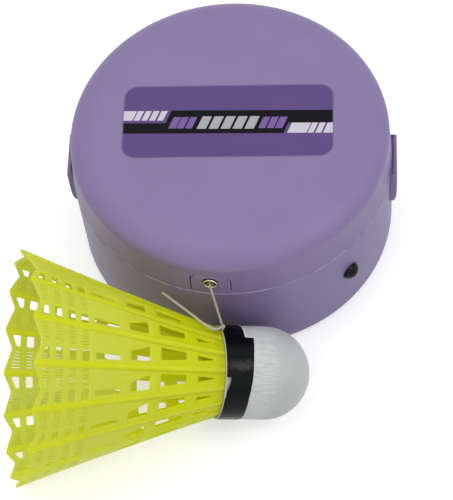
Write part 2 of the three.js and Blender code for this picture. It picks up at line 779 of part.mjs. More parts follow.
// Cord round the neck, its knot, and the tail that leans back against the case
const tieRadius = corkNeckRadius + clearance + cordRadius;
function cordTie() {
    const away = (knotRadius + cordRadius + clearance) / tieRadius;
    const points = [];
    for (let i = 0; i <= smallSides; i++) {
        const t = knotAngle + away + ((2 * PI - 2 * away) * i) / smallSides;
        points.push(inShuttle(t, tieRadius, tieMiddle));
    }
    return tube(points, cordRadius, cordSides);
}
function cordKnot() {
    const ball = asSolid(new THREE.SphereGeometry(knotRadius, smallSides / 2, smallSides / 4));
    const centre = inShuttle(knotAngle, knotCentre, tieMiddle);
    return ball.translate([centre.x, centre.y, centre.z]);
}

// Taut lead from the eyelet's mouth to the knot
function cordLead() {
    const mouth = radial(tongueAngle, eyeletFace + clearance, eyeletHeight);
    const line = knotPlace.clone().sub(mouth).normalize();
    const end = knotPlace.clone().addScaledVector(line, -(knotRadius + clearance));
    return tube([mouth, mouth.clone().lerp(end, 0.5), end], cordRadius, cordSides);
}

// Loose tail: points of its route, chosen by hand, off the case's wall, round the case and above the knot
const tailRoute = [
    [8.35, -2.53 * degrees, 1.22],
    [9.54, -4.03 * degrees, 3.02],
    [8.65, -6.51 * degrees, 3.72],
    [6.33, -10.24 * degrees, 3.32],
    [4.16, -14.31 * degrees, 2.72],
    [2.26, -18.74 * degrees, 2.02],
    [0.67, -23.49 * degrees, 1.32],
];
function cordTail() {
    const points = tailRoute.map(([offWall, angle, rise]) =>
        radial(angle, caseRadius + offWall, knotPlace.z + rise));
    return tube(points, cordRadius, cordSides);
}

// Cord inside the case, from the reel through the eyelet
function cordRun() {
    const mouth = radial(tongueAngle, eyeletFace, eyeletHeight);
    const behind = radial(tongueAngle, eyeletBack - clearance, eyeletHeight);
    const leaveRadius = turnRadius + 3 * cordRadius;
    const leaveAngle = atan2(behind.y, behind.x) + acos(leaveRadius / hypot(behind.x, behind.y));
    const leaveHeight = (hubBottom + hubTop) / 2;
    const leave = new THREE.Vector3(cos(leaveAngle), sin(leaveAngle), 0).multiplyScalar(leaveRadius);
    leave.z = leaveHeight;
    const along = behind.clone().sub(leave);
    const points = [leave, leave.clone().addScaledVector(along, 0.5), behind, mouth];
    return tube(points, cordRadius, cordSides);
}

add('base_shell', baseShell(), 'lavender');
add('anti_slip_pad', rod(padRadius, 0, padThickness, caseSides), 'footPad');
add('tank_cover', tankCover(), 'whitePlastic');
add('fill_plug', fillPlug(), 'darkRubber');
add('eyelet', eyelet(), 'eyeletMetal');
add('eyelet_washer', eyeletWasher(), 'steel');
add('reel_spool', reelSpool(), 'whitePlastic');
add('reel_cap', reelCap(), 'whitePlastic');
add('reel_washer', reelWasher(), 'steel');
add('reel_screw', reelScrew(), 'steel');
add('spare_cord_core', packCore(), 'cord');
add('spare_cord_turns', outerTurns(), 'cord');
add('lid_shell', lidShell(), 'lavender');
add('lid_label', label(), 'labelPurple');
for (const [name, side] of [['right', 1], ['left', -1]]) {
    add(`latch_${name}`, latch(side), 'lavender');
    add(`latch_pin_${name}`, latchPin(side), 'steel');
}
add('cord_run', cordRun(), 'cord');
add('cord_lead', cordLead(), 'cord');
add('cord_tail', cordTail(), 'cord');
add('shuttle_skirt', skirt(), 'yellowNylon', shuttle);
add('shuttle_cork', cork(), 'corkSkin', shuttle);
add('nose_weight', noseWeight(), 'steel', shuttle);
add('tape_band', tapeBand(), 'blackTape', shuttle);
add('cord_tie', cordTie(), 'cord', shuttle);
add('cord_knot', cordKnot(), 'cord', shuttle);

export default trainer;
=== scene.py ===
import math
import bmesh
import bpy
from mathutils import Matrix, Vector, noise
from mathutils.geometry import delaunay_2d_cdt


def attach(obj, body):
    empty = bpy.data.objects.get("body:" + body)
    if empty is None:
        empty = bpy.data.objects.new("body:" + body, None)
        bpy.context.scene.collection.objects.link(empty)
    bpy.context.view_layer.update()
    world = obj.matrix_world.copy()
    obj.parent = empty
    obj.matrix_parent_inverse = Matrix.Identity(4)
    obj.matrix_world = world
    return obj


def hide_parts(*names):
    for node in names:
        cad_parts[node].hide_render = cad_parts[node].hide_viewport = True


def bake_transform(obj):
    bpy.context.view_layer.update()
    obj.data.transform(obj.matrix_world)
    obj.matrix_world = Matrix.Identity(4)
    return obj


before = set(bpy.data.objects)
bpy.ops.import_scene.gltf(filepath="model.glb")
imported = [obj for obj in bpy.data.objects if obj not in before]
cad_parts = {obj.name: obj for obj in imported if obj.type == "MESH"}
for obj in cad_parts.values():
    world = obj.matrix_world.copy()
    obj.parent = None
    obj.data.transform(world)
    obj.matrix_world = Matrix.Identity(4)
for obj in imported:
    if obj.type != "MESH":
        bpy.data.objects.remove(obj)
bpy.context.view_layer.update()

mm = 0.001
tau = 2 * math.pi
tiny = 1e-9
scene = bpy.context.scene

# Camera fitted to the photo: angles in degrees, lengths in mm, focal length in pixels of a 500 pixel high image
camera = {
    "elevation": 59.387, "azimuth": 7.913, "roll": -7.329, "distance": 644, "target": (-1.734, -23.775, 19.553),
    "focalPixels": 2242.98, "imagePixels": 500, "sensor": 36, "clip": (0.05, 20),
}


def aimCamera():
    az, el, roll = (math.radians(camera[k]) for k in ("azimuth", "elevation", "roll"))
    back = Vector((math.sin(az) * math.cos(el), -math.cos(az) * math.cos(el), math.sin(el)))
    level = Vector((math.cos(az), math.sin(az), 0))
    upright = back.cross(level)
    right = math.cos(roll) * level + math.sin(roll) * upright
    above = math.cos(roll) * upright - math.sin(roll) * level
    made = bpy.data.objects.new("camera", bpy.data.cameras.new("camera"))
    made.data.sensor_width = camera["sensor"]
    made.data.lens = camera["focalPixels"] / camera["imagePixels"] * camera["sensor"]
    made.data.clip_start, made.data.clip_end = camera["clip"]
    place = Matrix((right, above, back)).transposed().to_4x4()
    place.translation = (Vector(camera["target"]) + back * camera["distance"]) * mm
    made.matrix_world = place
    scene.collection.objects.link(made)
    scene.camera = made


aimCamera()
scene.view_settings.view_transform = "Standard"


# Small helpers for node trees
def linear(red, green, blue):
    shares = [c / 255 for c in (red, green, blue)]
    return [s / 12.92 if s <= 0.04045 else ((s + 0.055) / 1.055) ** 2.4 for s in shares] + [1]


def put(tree, socket, value):
    if isinstance(value, bpy.types.NodeSocket):
        tree.links.new(value, socket)
    else:
        socket.default_value = value


def node(tree, kind, values=None, **settings):
    made = tree.nodes.new(kind)
    for key, value in settings.items():
        setattr(made, key, value)
    for key, value in (values or {}).items():
        put(tree, made.inputs[key], value)
    return made


def calc(tree, operation, *values, clamp=False):
    made = node(tree, "ShaderNodeMath", dict(enumerate(values)), operation=operation, use_clamp=clamp)
    return made.outputs[0]


def times(tree, a, b):
    return calc(tree, "MULTIPLY", a, b)


def minus(tree, a, b):
    return calc(tree, "SUBTRACT", a, b)


def scaled(tree, vector, share):
    return node(tree, "ShaderNodeVectorMath", {0: vector, "Scale": share}, operation="SCALE").outputs[0]


def parted(tree, vector):
    return node(tree, "ShaderNodeSeparateXYZ", {0: vector}).outputs


def offAxis(tree, place):
    flat = node(tree, "ShaderNodeVectorMath", {0: place, 1: (1, 1, 0)}, operation="MULTIPLY").outputs[0]
    return node(tree, "ShaderNodeVectorMath", {0: flat}, operation="LENGTH").outputs["Value"]


def noisy(tree, place, scale, detail=2, **more):
    values = {"Vector": place, "Scale": scale, "Detail": detail, **more}
    return node(tree, "ShaderNodeTexNoise", values).outputs[0]


def mapped(tree, place, **values):
    return node(tree, "ShaderNodeMapping", {"Vector": place, **values}).outputs[0]


def blended(tree, share, a, b):
    return node(tree, "ShaderNodeMix", {0: share, 6: a, 7: b}, data_type="RGBA").outputs[2]


def spread(tree, value, low, high, outLow=0, outHigh=1):
    values = dict(enumerate((value, low, high, outLow, outHigh)))
    return node(tree, "ShaderNodeMapRange", values, interpolation_type="SMOOTHSTEP").outputs[0]


def shaderGroup(name, inputs, outputs):
    tree = bpy.data.node_groups.new(name, "ShaderNodeTree")
    for side, sockets in (("INPUT", inputs), ("OUTPUT", outputs)):
        for label, kind in sockets:
            tree.interface.new_socket(label, in_out=side, socket_type="NodeSocket" + kind)
    return tree, node(tree, "NodeGroupInput").outputs, node(tree, "NodeGroupOutput").inputs


def geometryTree(name, inputs):
    tree = bpy.data.node_groups.new(name, "GeometryNodeTree")
    tree.interface.new_socket("Geometry", in_out="INPUT", socket_type="NodeSocketGeometry")
    ids = {}
    for label, kind in inputs:
        socket = tree.interface.new_socket(label, in_out="INPUT", socket_type="NodeSocket" + kind)
        ids[label] = socket.identifier
    tree.interface.new_socket("Geometry", in_out="OUTPUT", socket_type="NodeSocketGeometry")
    return tree, node(tree, "NodeGroupInput").outputs, node(tree, "NodeGroupOutput").inputs, ids


def endTree(tree, gin, gout, geometry):
    painted = node(tree, "GeometryNodeSetMaterial", {"Geometry": geometry, "Material": gin["Material"]})
    put(tree, gout["Geometry"], painted.outputs[0])


# Modifiers become plain mesh
def settle(obj):
    bpy.context.view_layer.update()
    mesh = bpy.data.meshes.new_from_object(obj.evaluated_get(bpy.context.evaluated_depsgraph_get()))
    obj.modifiers.clear()
    old, obj.data = obj.data, mesh
    bpy.data.meshes.remove(old)


def grow(obj, tree, ids, values):
    modifier = obj.modifiers.new(tree.name, "NODES")
    modifier.node_group = tree
    for label, value in values.items():
        modifier[ids[label]] = value
    settle(obj)


# Outlines: corners (x, y, radius) become points with rounded corners, two of which may share a side
def rounded(corners, steps=5, closed=True):
    wholeSide, sharedSide = 0.98, 0.49
    line = []
    for i, (x, y, *radius) in enumerate(corners):
        if not any(radius) or (not closed and i in (0, len(corners) - 1)):
            line.append((x, y))
            continue
        here, following = Vector((x, y)), corners[(i + 1) % len(corners)]
        before, after = Vector(corners[i - 1][:2]) - here, Vector(following[:2]) - here
        legs = ((before, corners[i - 1]), (after, following))
        reach = min(leg.length * (sharedSide if end[2:] else wholeSide) for leg, end in legs)
        before, after = before.normalized(), after.normalized()
        half = before.angle(after) / 2
        reach = min(reach, radius[0] / math.tan(half))
        middle = here + (before + after).normalized() * reach / math.cos(half)
        start, end = here + before * reach - middle, here + after * reach - middle
        turn = math.atan2(start.x * end.y - start.y * end.x, start.dot(end))
        for k in range(steps + 1):
            p = middle + Matrix.Rotation(turn * k / steps, 2) @ start
            line.append((p.x, p.y))
    return line


def arcPoints(x, y, rx, ry, start, end, steps):
    angles = [math.radians(start + (end - start) * k / steps) for k in range(steps + 1)]
    return [(x + rx * math.cos(a), y + ry * math.sin(a)) for a in angles]


def offsetLoop(loop, grown):
    area = sum(a[0] * b[1] - b[0] * a[1] for a, b in zip(loop, loop[1:] + loop[:1]))
    turn = 1 if area > 0 else -1
    out = []
    for i, (x, y) in enumerate(loop):
        before, after = Vector(loop[i - 1]), Vector(loop[(i + 1) % len(loop)])
        along = (after - before).normalized()
        out.append((x + turn * grown * along.y, y - turn * grown * along.x))
    return out


def finely(loop, step, closed=True):
    out = []
    ends = loop[1:] + loop[:1] if closed else loop[1:]
    for a, b in zip(loop, ends):
        parts = max(1, math.ceil(math.dist(a, b) / step))
        out += [tuple(p + (q - p) * k / parts for p, q in zip(a, b)) for k in range(parts)]
    return out if closed else out + [loop[-1]]


# Between the entries (x, y) of a table
def between(table, x):
    for (a, p), (b, q) in zip(table, table[1:]):
        if a <= x <= b:
            return p + (q - p) * (x - a) / (b - a)


# Bodies turned about the local z axis from (radius, height) points
def lathe(profile, sides, closed=True):
    points, faces, rings = [], [], []
    for r, z in profile:
        count = 1 if r < 1e-6 else sides
        rings.append(range(len(points), len(points) + count))
        points += [(r * math.cos(tau * k / sides), r * math.sin(tau * k / sides), z) for k in range(count)]
    for a, b in zip(rings, rings[1:] + (rings[:1] if closed else [])):
        for k in range(sides):
            n = (k + 1) % sides
            corners = [a[k % len(a)], a[n % len(a)], b[n % len(b)], b[k % len(b)]]
            face = list(dict.fromkeys(corners))
            if len(face) > 2:
                faces.append(face)
    return points, faces


# Closed rings of points one after another, with flat caps
def loft(rings, capped=True):
    count = len(rings[0])
    points = [p for ring in rings for p in ring]
    faces = []
    for i in range(len(rings) - 1):
        for k in range(count):
            n = (k + 1) % count
            faces.append([i * count + k, i * count + n, (i + 1) * count + n, (i + 1) * count + k])
    if capped:
        faces += [list(range(count)), list(range(len(points) - count, len(points)))]
    return points, faces


# A tube along points, with UV: turns round it and length along it in units of its radius
def tube(points, radius, sides=12, closed=False):
    points = [Vector(p) for p in points]
    count = len(points)
    side, rings, lengths = None, [], [0]
    for i, p in enumerate(points):
        before = points[i - 1] if closed or i else p
        after = points[(i + 1) % count] if closed or i < count - 1 else p
        along = (after - before).normalized()
        side = along.orthogonal() if side is None else side - along * side.dot(along)
        side.normalize()
        over = along.cross(side)
        turns = [tau * k / sides for k in range(sides)]
        rings.append([p + radius * (math.cos(a) * side + math.sin(a) * over) for a in turns])
        lengths.append(lengths[-1] + (points[(i + 1) % count] - p).length / radius)
    made, faces = loft(rings + ([rings[0]] if closed else []), capped=not closed)
    corners = []
    for face in faces[: (len(rings) - (0 if closed else 1)) * sides]:
        k, i = face[0] % sides, face[0] // sides
        corners += [(k / sides, lengths[i]), ((k + 1) / sides, lengths[i]),
                    ((k + 1) / sides, lengths[i + 1]), (k / sides, lengths[i + 1])]
    corners += [(0, 0)] * (0 if closed else 2 * sides)
    return made, faces, corners


# A smooth line through points, with knots spaced by the root of the distance
def spline(points, step):
    points = [Vector(p) for p in points]
    points = [2 * points[0] - points[1], *points, 2 * points[-1] - points[-2]]
    line = []
    for four in zip(points, points[1:], points[2:], points[3:]):
        knots = [0]
        for p, q in zip(four, four[1:]):
            knots.append(knots[-1] + math.sqrt((q - p).length))
        parts = max(2, math.ceil((four[2] - four[1]).length / step))
        for k in range(parts):
            t = knots[1] + (knots[2] - knots[1]) * k / parts
            level = four
            for spans in (zip(knots, knots[1:]), zip(knots, knots[2:]), [(knots[1], knots[2])]):
                level = [p + (q - p) * (t - u) / (v - u) for p, q, (u, v) in zip(level, level[1:], spans)]
            line.append(level[0])
    return line + [points[-2]]


def build(name, points, faces, place=None, corners=None, merge=0):
    points = [Vector(p) if place is None else place @ Vector(p) for p in points]
    mesh = bpy.data.meshes.new(name)
    mesh.from_pydata([p * mm for p in points], [], faces)
    if corners:
        layer = mesh.uv_layers.new(name="uv")
        for entry, corner in zip(layer.data, corners):
            entry.uv = corner
    work = bmesh.new()
    work.from_mesh(mesh)
    if merge:
        bmesh.ops.remove_doubles(work, verts=work.verts, dist=merge * mm)
    bmesh.ops.recalc_face_normals(work, faces=work.faces)
    work.to_mesh(mesh)
    work.free()
    obj = bpy.data.objects.new(name, mesh)
    scene.collection.objects.link(obj)
    return obj


def combine(target, other, operation):
    modifier = target.modifiers.new("combine", "BOOLEAN")
    modifier.operation, modifier.object, modifier.solver = operation, other, "MANIFOLD"
    settle(target)
    bpy.data.objects.remove(other)


def bevelled(obj, width, segments=2, angle=30):
    modifier = obj.modifiers.new("bevel", "BEVEL")
    modifier.width, modifier.segments, modifier.angle_limit = width * mm, segments, math.radians(angle)
    settle(obj)
    return obj


# Smooth faces with sharp edges above an angle, the material, the body and the solids it stands for
def finish(obj, material, body, stands, angle=35, weighted=True):
    obj.data.shade_smooth()
    obj.data.set_sharp_from_angle(angle=math.radians(angle))
    if weighted:
        obj.modifiers.new("normals", "WEIGHTED_NORMAL").keep_sharp = True
        settle(obj)
    obj.data.materials.clear()
    obj.data.materials.append(material)
    if body:
        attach(obj, body)
    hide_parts(*stands)


# Places about the case's axis: angle 0 is the front, and local z points outwards
def outward(angle, height=0):
    a = math.radians(angle)
    made = Matrix(((math.cos(a), 0, math.sin(a)), (math.sin(a), 0, -math.cos(a)), (0, 1, 0))).to_4x4()
    made.translation = (0, 0, height)
    return made


def radial(angle, radius, height):
    return outward(angle, height) @ Vector((0, 0, radius))


# Sizes of the case that several pieces share
case = {
    "radius": 46, "height": 48.8, "seam": 33.3, "seamGap": 0.12, "baseInner": 43.8, "lidInner": 44,
    "lidFoot": 45.84, "lidTopRadius": 45.3, "shoulder": 43.4, "shoulderReach": 9, "shoulderDrop": 5.4,
    "floorUnder": 1.2, "floorTop": 3.2, "sides": 256, "clearance": 0.3,
}
tongue = {
    "angle": -5.6, "width": 10.8, "top": 40.9, "footRound": 1.7, "topRound": 1.3, "edge": 0.3, "notchEdge": 0.2,
}
eyelet = {
    "height": 38.1, "face": 45.85, "back": 42.2, "bore": 1.35, "barrel": 1.75, "mouth": 1.6, "flange": 2.07,
    "thickness": 0.5, "washer": (2.05, 3, 43.1, 43.5),
}
sidesOf = {"right": 0, "left": math.pi}  # the two latches' turns about the case's axis

# The shuttlecock's own frame: local z points from the cork to the skirt's tips, which are at z = 0
shuttle = {
    "tipBelow": 32.9 * math.cos(math.radians(6)), "corkCentre": 69.2, "corkRadius": 13.1, "turn": 6.5,
    "place": (-57.0035, -67.6955),
}
slope = math.atan2(shuttle["tipBelow"], shuttle["corkCentre"]) - math.asin(
    shuttle["corkRadius"] / math.hypot(shuttle["corkCentre"], shuttle["tipBelow"]))
heading = math.radians(shuttle["turn"])
axis = Vector((math.cos(slope) * math.cos(heading), math.cos(slope) * math.sin(heading), -math.sin(slope)))
sideways = axis.cross(Vector((0, 0, 1))).normalized()
shuttleFrame = Matrix((sideways, sideways.cross(axis), -axis)).transposed().to_4x4()
shuttleFrame.translation = (*shuttle["place"], shuttle["tipBelow"] * math.cos(slope))


def roundAxis(angle, radius, height):
    return radius * math.cos(angle), radius * math.sin(angle), height


def inShuttle(angle, radius, along):
    return shuttleFrame @ Vector(roundAxis(math.radians(angle), radius, -along))


# Cords, in mm: the lead's route, the tie round the neck with its tail, and the knot
cord = {
    "radius": 0.35, "tieRadius": 12.75, "tieMiddle": 55.85, "tieFrom": 3, "tieTurn": 355, "tieSteps": 150,
    "knotAngle": 126, "knotCentre": 13.875, "knotSize": 0.15, "knotSteps": 90, "windingRadius": 21.25,
    "leaveHeight": 32.6, "bend": 0.03, "clear": 0.3, "step": 0.5, "leadStep": 1.2,
    # The loose tail: off the case's wall, angle, above the knot
    "tail": [(8.35, -2.53, 1.22), (9.54, -4.03, 3.02), (8.65, -6.51, 3.72), (6.33, -10.24, 3.32),
             (4.16, -14.31, 2.72), (2.26, -18.74, 2.02), (0.67, -23.49, 1.32)],
}
knot = inShuttle(cord["knotAngle"], cord["knotCentre"], cord["tieMiddle"])
mouth = radial(tongue["angle"], eyelet["face"] + cord["clear"], eyelet["height"])
behind = radial(tongue["angle"], eyelet["back"] - cord["clear"], eyelet["height"])
leaveRadius = cord["windingRadius"] + 3 * cord["radius"]
leaveAngle = math.atan2(behind.y, behind.x) + math.acos(leaveRadius / math.hypot(behind.x, behind.y))
leave = Vector(roundAxis(leaveAngle, leaveRadius, cord["leaveHeight"]))
leadPoints = (leave, leave.lerp(behind, 1 - cord["bend"]), behind.lerp(mouth, cord["bend"]), mouth, knot)
leadRoute = finely([tuple(p) for p in leadPoints], cord["leadStep"], closed=False)
leadCord = build("lead_cord", *tube(leadRoute, cord["radius"])[:2])
tieAngles = [cord["knotAngle"] + cord["tieFrom"] + cord["tieTurn"] * k / cord["tieSteps"]
             for k in range(cord["tieSteps"] + 1)]
tieRoute = [inShuttle(a, cord["tieRadius"], cord["tieMiddle"]) for a in tieAngles]
tailRoute = [radial(angle, case["radius"] + off, knot.z + rise) for off, angle, rise in cord["tail"]]
freeRoute = tieRoute + spline([tieRoute[-1], knot, *tailRoute], cord["step"])[2:]


def corded(name, route, radius, sides=12, closed=False, merge=0):
    points, faces, corners = tube(route, radius, sides, closed)
    return build(name, points, faces, corners=corners, merge=merge)


# The knot is a trefoil
def trefoil(a):
    return Vector((math.sin(a) + 2 * math.sin(2 * a), math.cos(a) - 2 * math.cos(2 * a),
                   -1.3 * math.sin(3 * a)))


tieCord = corded("tie_and_tail", freeRoute, cord["radius"])
knotAngles = [tau * k / cord["knotSteps"] for k in range(cord["knotSteps"])]
knotRoute = [knot + cord["knotSize"] * trefoil(a) for a in knotAngles]
knotPiece = corded("knot", knotRoute, cord["radius"] * 0.8, 10, closed=True, merge=0.001)
print("cords made")

# Shared effects: fine moulding grain over broad, faint patches of colour and gloss
grainLook = {"detail": 3, "patchScale": 0.09, "patchDetail": 4, "patchRoughness": 0.6, "glossShift": 0.25}
grain, gin, gout = shaderGroup("grain", [
    ("Place", "Vector"), ("Color", "Color"), ("Roughness", "Float"), ("Size", "Float"), ("Mottle", "Float"),
], [("Color", "Color"), ("Roughness", "Float"), ("Height", "Float")])
fine = noisy(grain, gin["Place"], calc(grain, "DIVIDE", 1, gin["Size"]), grainLook["detail"])
broad = noisy(grain, gin["Place"], grainLook["patchScale"], grainLook["patchDetail"],
              Roughness=grainLook["patchRoughness"])
patch = spread(grain, broad, 0.3, 0.7, -1, 1)
put(grain, gout["Color"], scaled(grain, gin["Color"], calc(grain, "MULTIPLY_ADD", patch, gin["Mottle"], 1)))
gloss = calc(grain, "MULTIPLY_ADD", minus(grain, broad, 0.5), grainLook["glossShift"], gin["Roughness"])
put(grain, gout["Roughness"], gloss)
put(grain, gout["Height"], fine)

# One bar of the label, with soft edges, over the bars before it
barSoft = 0.05
barInputs = ("Across", "Up", "Left", "Right", "Low", "High", "Before")
barLimits = (("Across", "Left", 1), ("Across", "Right", -1), ("Up", "Low", 1), ("Up", "High", -1))
bar, gin, gout = shaderGroup("bar", [(name, "Float") for name in barInputs], [("Mask", "Float")])
inside = 1
for along, limit, sign in barLimits:
    off = times(bar, minus(bar, gin[along], gin[limit]), sign)
    inside = times(bar, inside, spread(bar, off, -barSoft, barSoft))
put(bar, gout["Mask"], calc(bar, "MAXIMUM", inside, gin["Before"]))


def newMaterial(name, **constants):
    material = bpy.data.materials.new(name)
    material.use_nodes = True
    tree = material.node_tree
    shader = tree.nodes["Principled BSDF"]
    for key, value in constants.items():
        shader.inputs[key.replace("_", " ")].default_value = value
    coordinates = node(tree, "ShaderNodeTexCoord").outputs
    return material, tree, shader.inputs, coordinates


def bump(tree, sockets, height, depth):
    made = node(tree, "ShaderNodeBump", {"Height": height, "Distance": depth * mm, "Strength": 1})
    put(tree, sockets["Normal"], made.outputs[0])


# Colour, roughness and height of a material with moulding grain
def grained(tree, sockets, place, color, roughness, size, depth, mottle):
    group = node(tree, "ShaderNodeGroup", node_tree=grain)
    values = {"Place": place, "Color": color, "Roughness": roughness, "Size": size, "Mottle": mottle}
    for key, value in values.items():
        put(tree, group.inputs[key], value)
    put(tree, sockets["Base Color"], group.outputs["Color"])
    put(tree, sockets["Roughness"], group.outputs["Roughness"])
    bump(tree, sockets, group.outputs["Height"], depth)
    return group.outputs["Color"]


# A plain material: moulding grain over one colour
def plain(name, color, roughness, size=0.35, depth=0.01, mottle=0.03, **constants):
    material, tree, sockets, coordinates = newMaterial(name, **constants)
    grained(tree, sockets, scaled(tree, coordinates["Object"], 1 / mm), color, roughness, size, depth, mottle)
    return material


casePlastic = plain("case_plastic", linear(134, 119, 164), 0.45, 0.5, 0.012, 0.025, Specular_IOR_Level=0.35)
rubber = plain("plug_rubber", linear(14, 13, 18), 0.16, depth=0.004, Specular_IOR_Level=0.14)
padFoam = plain("pad_foam", linear(40, 40, 43), 0.85, size=0.25, depth=0.05)
innerPlastic = plain("inner_plastic", linear(220, 220, 214), 0.38)
brass = plain("eyelet_metal", linear(216, 210, 188), 0.2, depth=0.002, Metallic=1.0)
steel = plain("steel", linear(190, 192, 196), 0.22, depth=0.002, Metallic=1.0)

# Cord: a covered elastic thread, its cover braided in two directions along the tube's UV
cordLook = {
    "strands": 4, "lay": 0.55, "low": linear(166, 162, 146), "high": linear(212, 208, 192), "roughness": 0.6,
    "depth": 0.04,
}
cordCover, tree, sockets, coordinates = newMaterial("cord", Sheen_Weight=0.2)
uv = parted(tree, coordinates["UV"])
weave = 0
for way in (1, -1):
    turns = calc(tree, "MULTIPLY_ADD", uv[0], cordLook["strands"] * way, times(tree, uv[1], cordLook["lay"]))
    weave = calc(tree, "MAXIMUM", weave, calc(tree, "SINE", times(tree, turns, tau)))
put(tree, sockets["Base Color"], blended(tree, weave, cordLook["low"], cordLook["high"]))
put(tree, sockets["Roughness"], cordLook["roughness"])
bump(tree, sockets, weave, cordLook["depth"])


# A colour laid over what a material already has, where a mask says
def tinted(tree, mask, color):
    socket = tree.nodes["Principled BSDF"].inputs["Base Color"]
    put(tree, socket, blended(tree, mask, socket.links[0].from_socket, color))


# Painted shade: the case is a little darker below the shoulder
shadow = {"from": 43, "to": 35, "share": 0.06}
tree = casePlastic.node_tree
heightHere = parted(tree, node(tree, "ShaderNodeTexCoord").outputs["Object"])[2]
low = spread(tree, heightHere, shadow["from"] * mm, shadow["to"] * mm, 0, shadow["share"])
tinted(tree, low, (0, 0, 0, 1))

# Painted highlight: a thin pale line along the base's rim and the tongue's edges
seamHighlight = {
    "width": 0.14, "soft": 0.12, "color": linear(172, 162, 188), "strength": (0.25, 0.95), "outside": 45,
    "patchScale": 0.35,
}
basePlastic = casePlastic.copy()
tree = basePlastic.node_tree
place = scaled(tree, node(tree, "ShaderNodeTexCoord").outputs["Object"], 1 / mm)
height = parted(tree, place)[2]
tongueSide = outward(tongue["angle"]) @ Vector((1, 0, 0))
aside = node(tree, "ShaderNodeVectorMath", {0: place, 1: tongueSide}, operation="DOT_PRODUCT")
aside = calc(tree, "ABSOLUTE", aside.outputs["Value"])
short = calc(tree, "DIVIDE", minus(tree, height, case["seam"]), tongue["footRound"])
short = calc(tree, "SUBTRACT", 1, short, clamp=True)
flare = minus(tree, 1, calc(tree, "SQRT", minus(tree, 1, times(tree, short, short))))
halfWide = calc(tree, "MULTIPLY_ADD", flare, tongue["footRound"], tongue["width"] / 2)
edgeOff = calc(tree, "MAXIMUM", minus(tree, aside, halfWide), minus(tree, height, tongue["top"]))
onTongue = spread(tree, edgeOff, -seamHighlight["width"] - seamHighlight["soft"], -seamHighlight["width"])
onTongue = times(tree, onTongue, calc(tree, "GREATER_THAN", height, case["seam"] + 0.1))
onTongue = times(tree, onTongue, calc(tree, "LESS_THAN", edgeOff, 0.5))
rimFrom = case["seam"] - seamHighlight["width"]
onRim = times(tree, spread(tree, height, rimFrom - seamHighlight["soft"], rimFrom),
              calc(tree, "LESS_THAN", height, case["seam"] + 0.02))
outside = calc(tree, "GREATER_THAN", offAxis(tree, place), seamHighlight["outside"])
pale = times(tree, calc(tree, "MAXIMUM", onTongue, onRim), outside)
# The painted highlight comes and goes in patches of noise
brokenHighlight = spread(tree, noisy(tree, place, seamHighlight["patchScale"]), 0.4, 0.6, *seamHighlight["strength"])
tinted(tree, times(tree, pale, brokenHighlight), seamHighlight["color"])

# Base: a cup with the spigot, the tongue and the latch seats
base = {
    "padRadius": 38.3, "padRecess": 0.4, "footRadius": 45.7, "footRound": 3.8, "rimRound": 0.35, "spigot": 44.7,
    "spigotTop": 35.3, "ledge": 42.2, "ledgeTop": 24.6, "ledgeLow": 23.1, "ledgeFoot": 21.5, "innerRound": 1.6,
    "seatX": (40.3, 43.9), "seatHalf": 10.4, "seatBottom": 16.4, "seatEdge": 0.3, "recessX": 42.3,
    "recessHalf": 7.35, "recessBottom": 18.8, "recessEdge": 0.3, "recessRound": 0.5,
    "pinX": 44.1, "pinZ": 23.1, "pinHole": 0.85, "pinHalf": 7.95, "latchSide": -0.8,
    "eyeletSeat": 2.2, "seatDepth": 1, "seatShift": 0.4, "eyeletHole": 2.05,
    "plugAngle": 47.3, "plugHeight": 20.2, "plugHole": 2.1, "holeEdge": 0.2,
    "ringFoot": (31.8, 32.4), "ringTop": 41.5,
}


def lidRadius(z):
    rise = max(0, z - case["seam"]) / (case["shoulder"] - case["seam"])
    return case["lidFoot"] - (case["lidFoot"] - case["lidTopRadius"]) * rise


def baseRadius(z):
    return case["radius"]


inner, seam = case["baseInner"], case["seam"]
shell = build("base_shell_look", *lathe(rounded([
    (0, case["floorUnder"]), (base["padRadius"], case["floorUnder"]),
    (base["padRadius"], base["padRecess"], 0.2), (base["footRadius"], base["padRecess"], base["footRound"]),
    (case["radius"], seam, base["rimRound"]), (base["spigot"], seam, 0.1),
    (base["spigot"], base["spigotTop"], 0.2), (inner, base["spigotTop"], 0.2),
    (inner, base["ledgeTop"]), (base["ledge"], base["ledgeTop"], 0.2), (base["ledge"], base["ledgeLow"]),
    (inner, base["ledgeFoot"]), (inner, case["floorTop"], base["innerRound"]), (0, case["floorTop"]),
], closed=False), case["sides"], closed=False))


# A closed body through the wall: an outline across and up, with an edge that flares at the surface
def throughWall(outline, angle, surface, edge, outside, deep, steps=5, sign=1):
    rings = []
    depths = [-outside] + [edge * k / steps for k in range(steps)] + [edge, deep]
    for depth in depths:
        left = min(max(edge - max(depth, 0), 0), edge)
        grown = sign * (edge - math.sqrt(max(0, edge * edge - left * left))) if edge else 0
        ring = []
        for x, z in offsetLoop(outline, grown):
            radius = math.sqrt((surface(z) - depth) ** 2 - x * x)
            ring.append(radial(angle, radius, z) + outward(angle) @ Vector((x, 0, 0)))
        rings.append(ring)
    return build("through", *loft(rings))


def tongueOutline(grown, foot):
    half, top, corner = tongue["width"] / 2 + grown, tongue["top"] + grown, tongue["topRound"] + grown
    flare, seam = tongue["footRound"] - grown, case["seam"] + 1e-3
    corners = [(half + flare, foot), (half + flare, seam), (half, seam, flare), (half, top, corner)]
    corners += [(-x, z, *r) for x, z, *r in reversed(corners)]
    return finely(rounded(corners), 1.2)


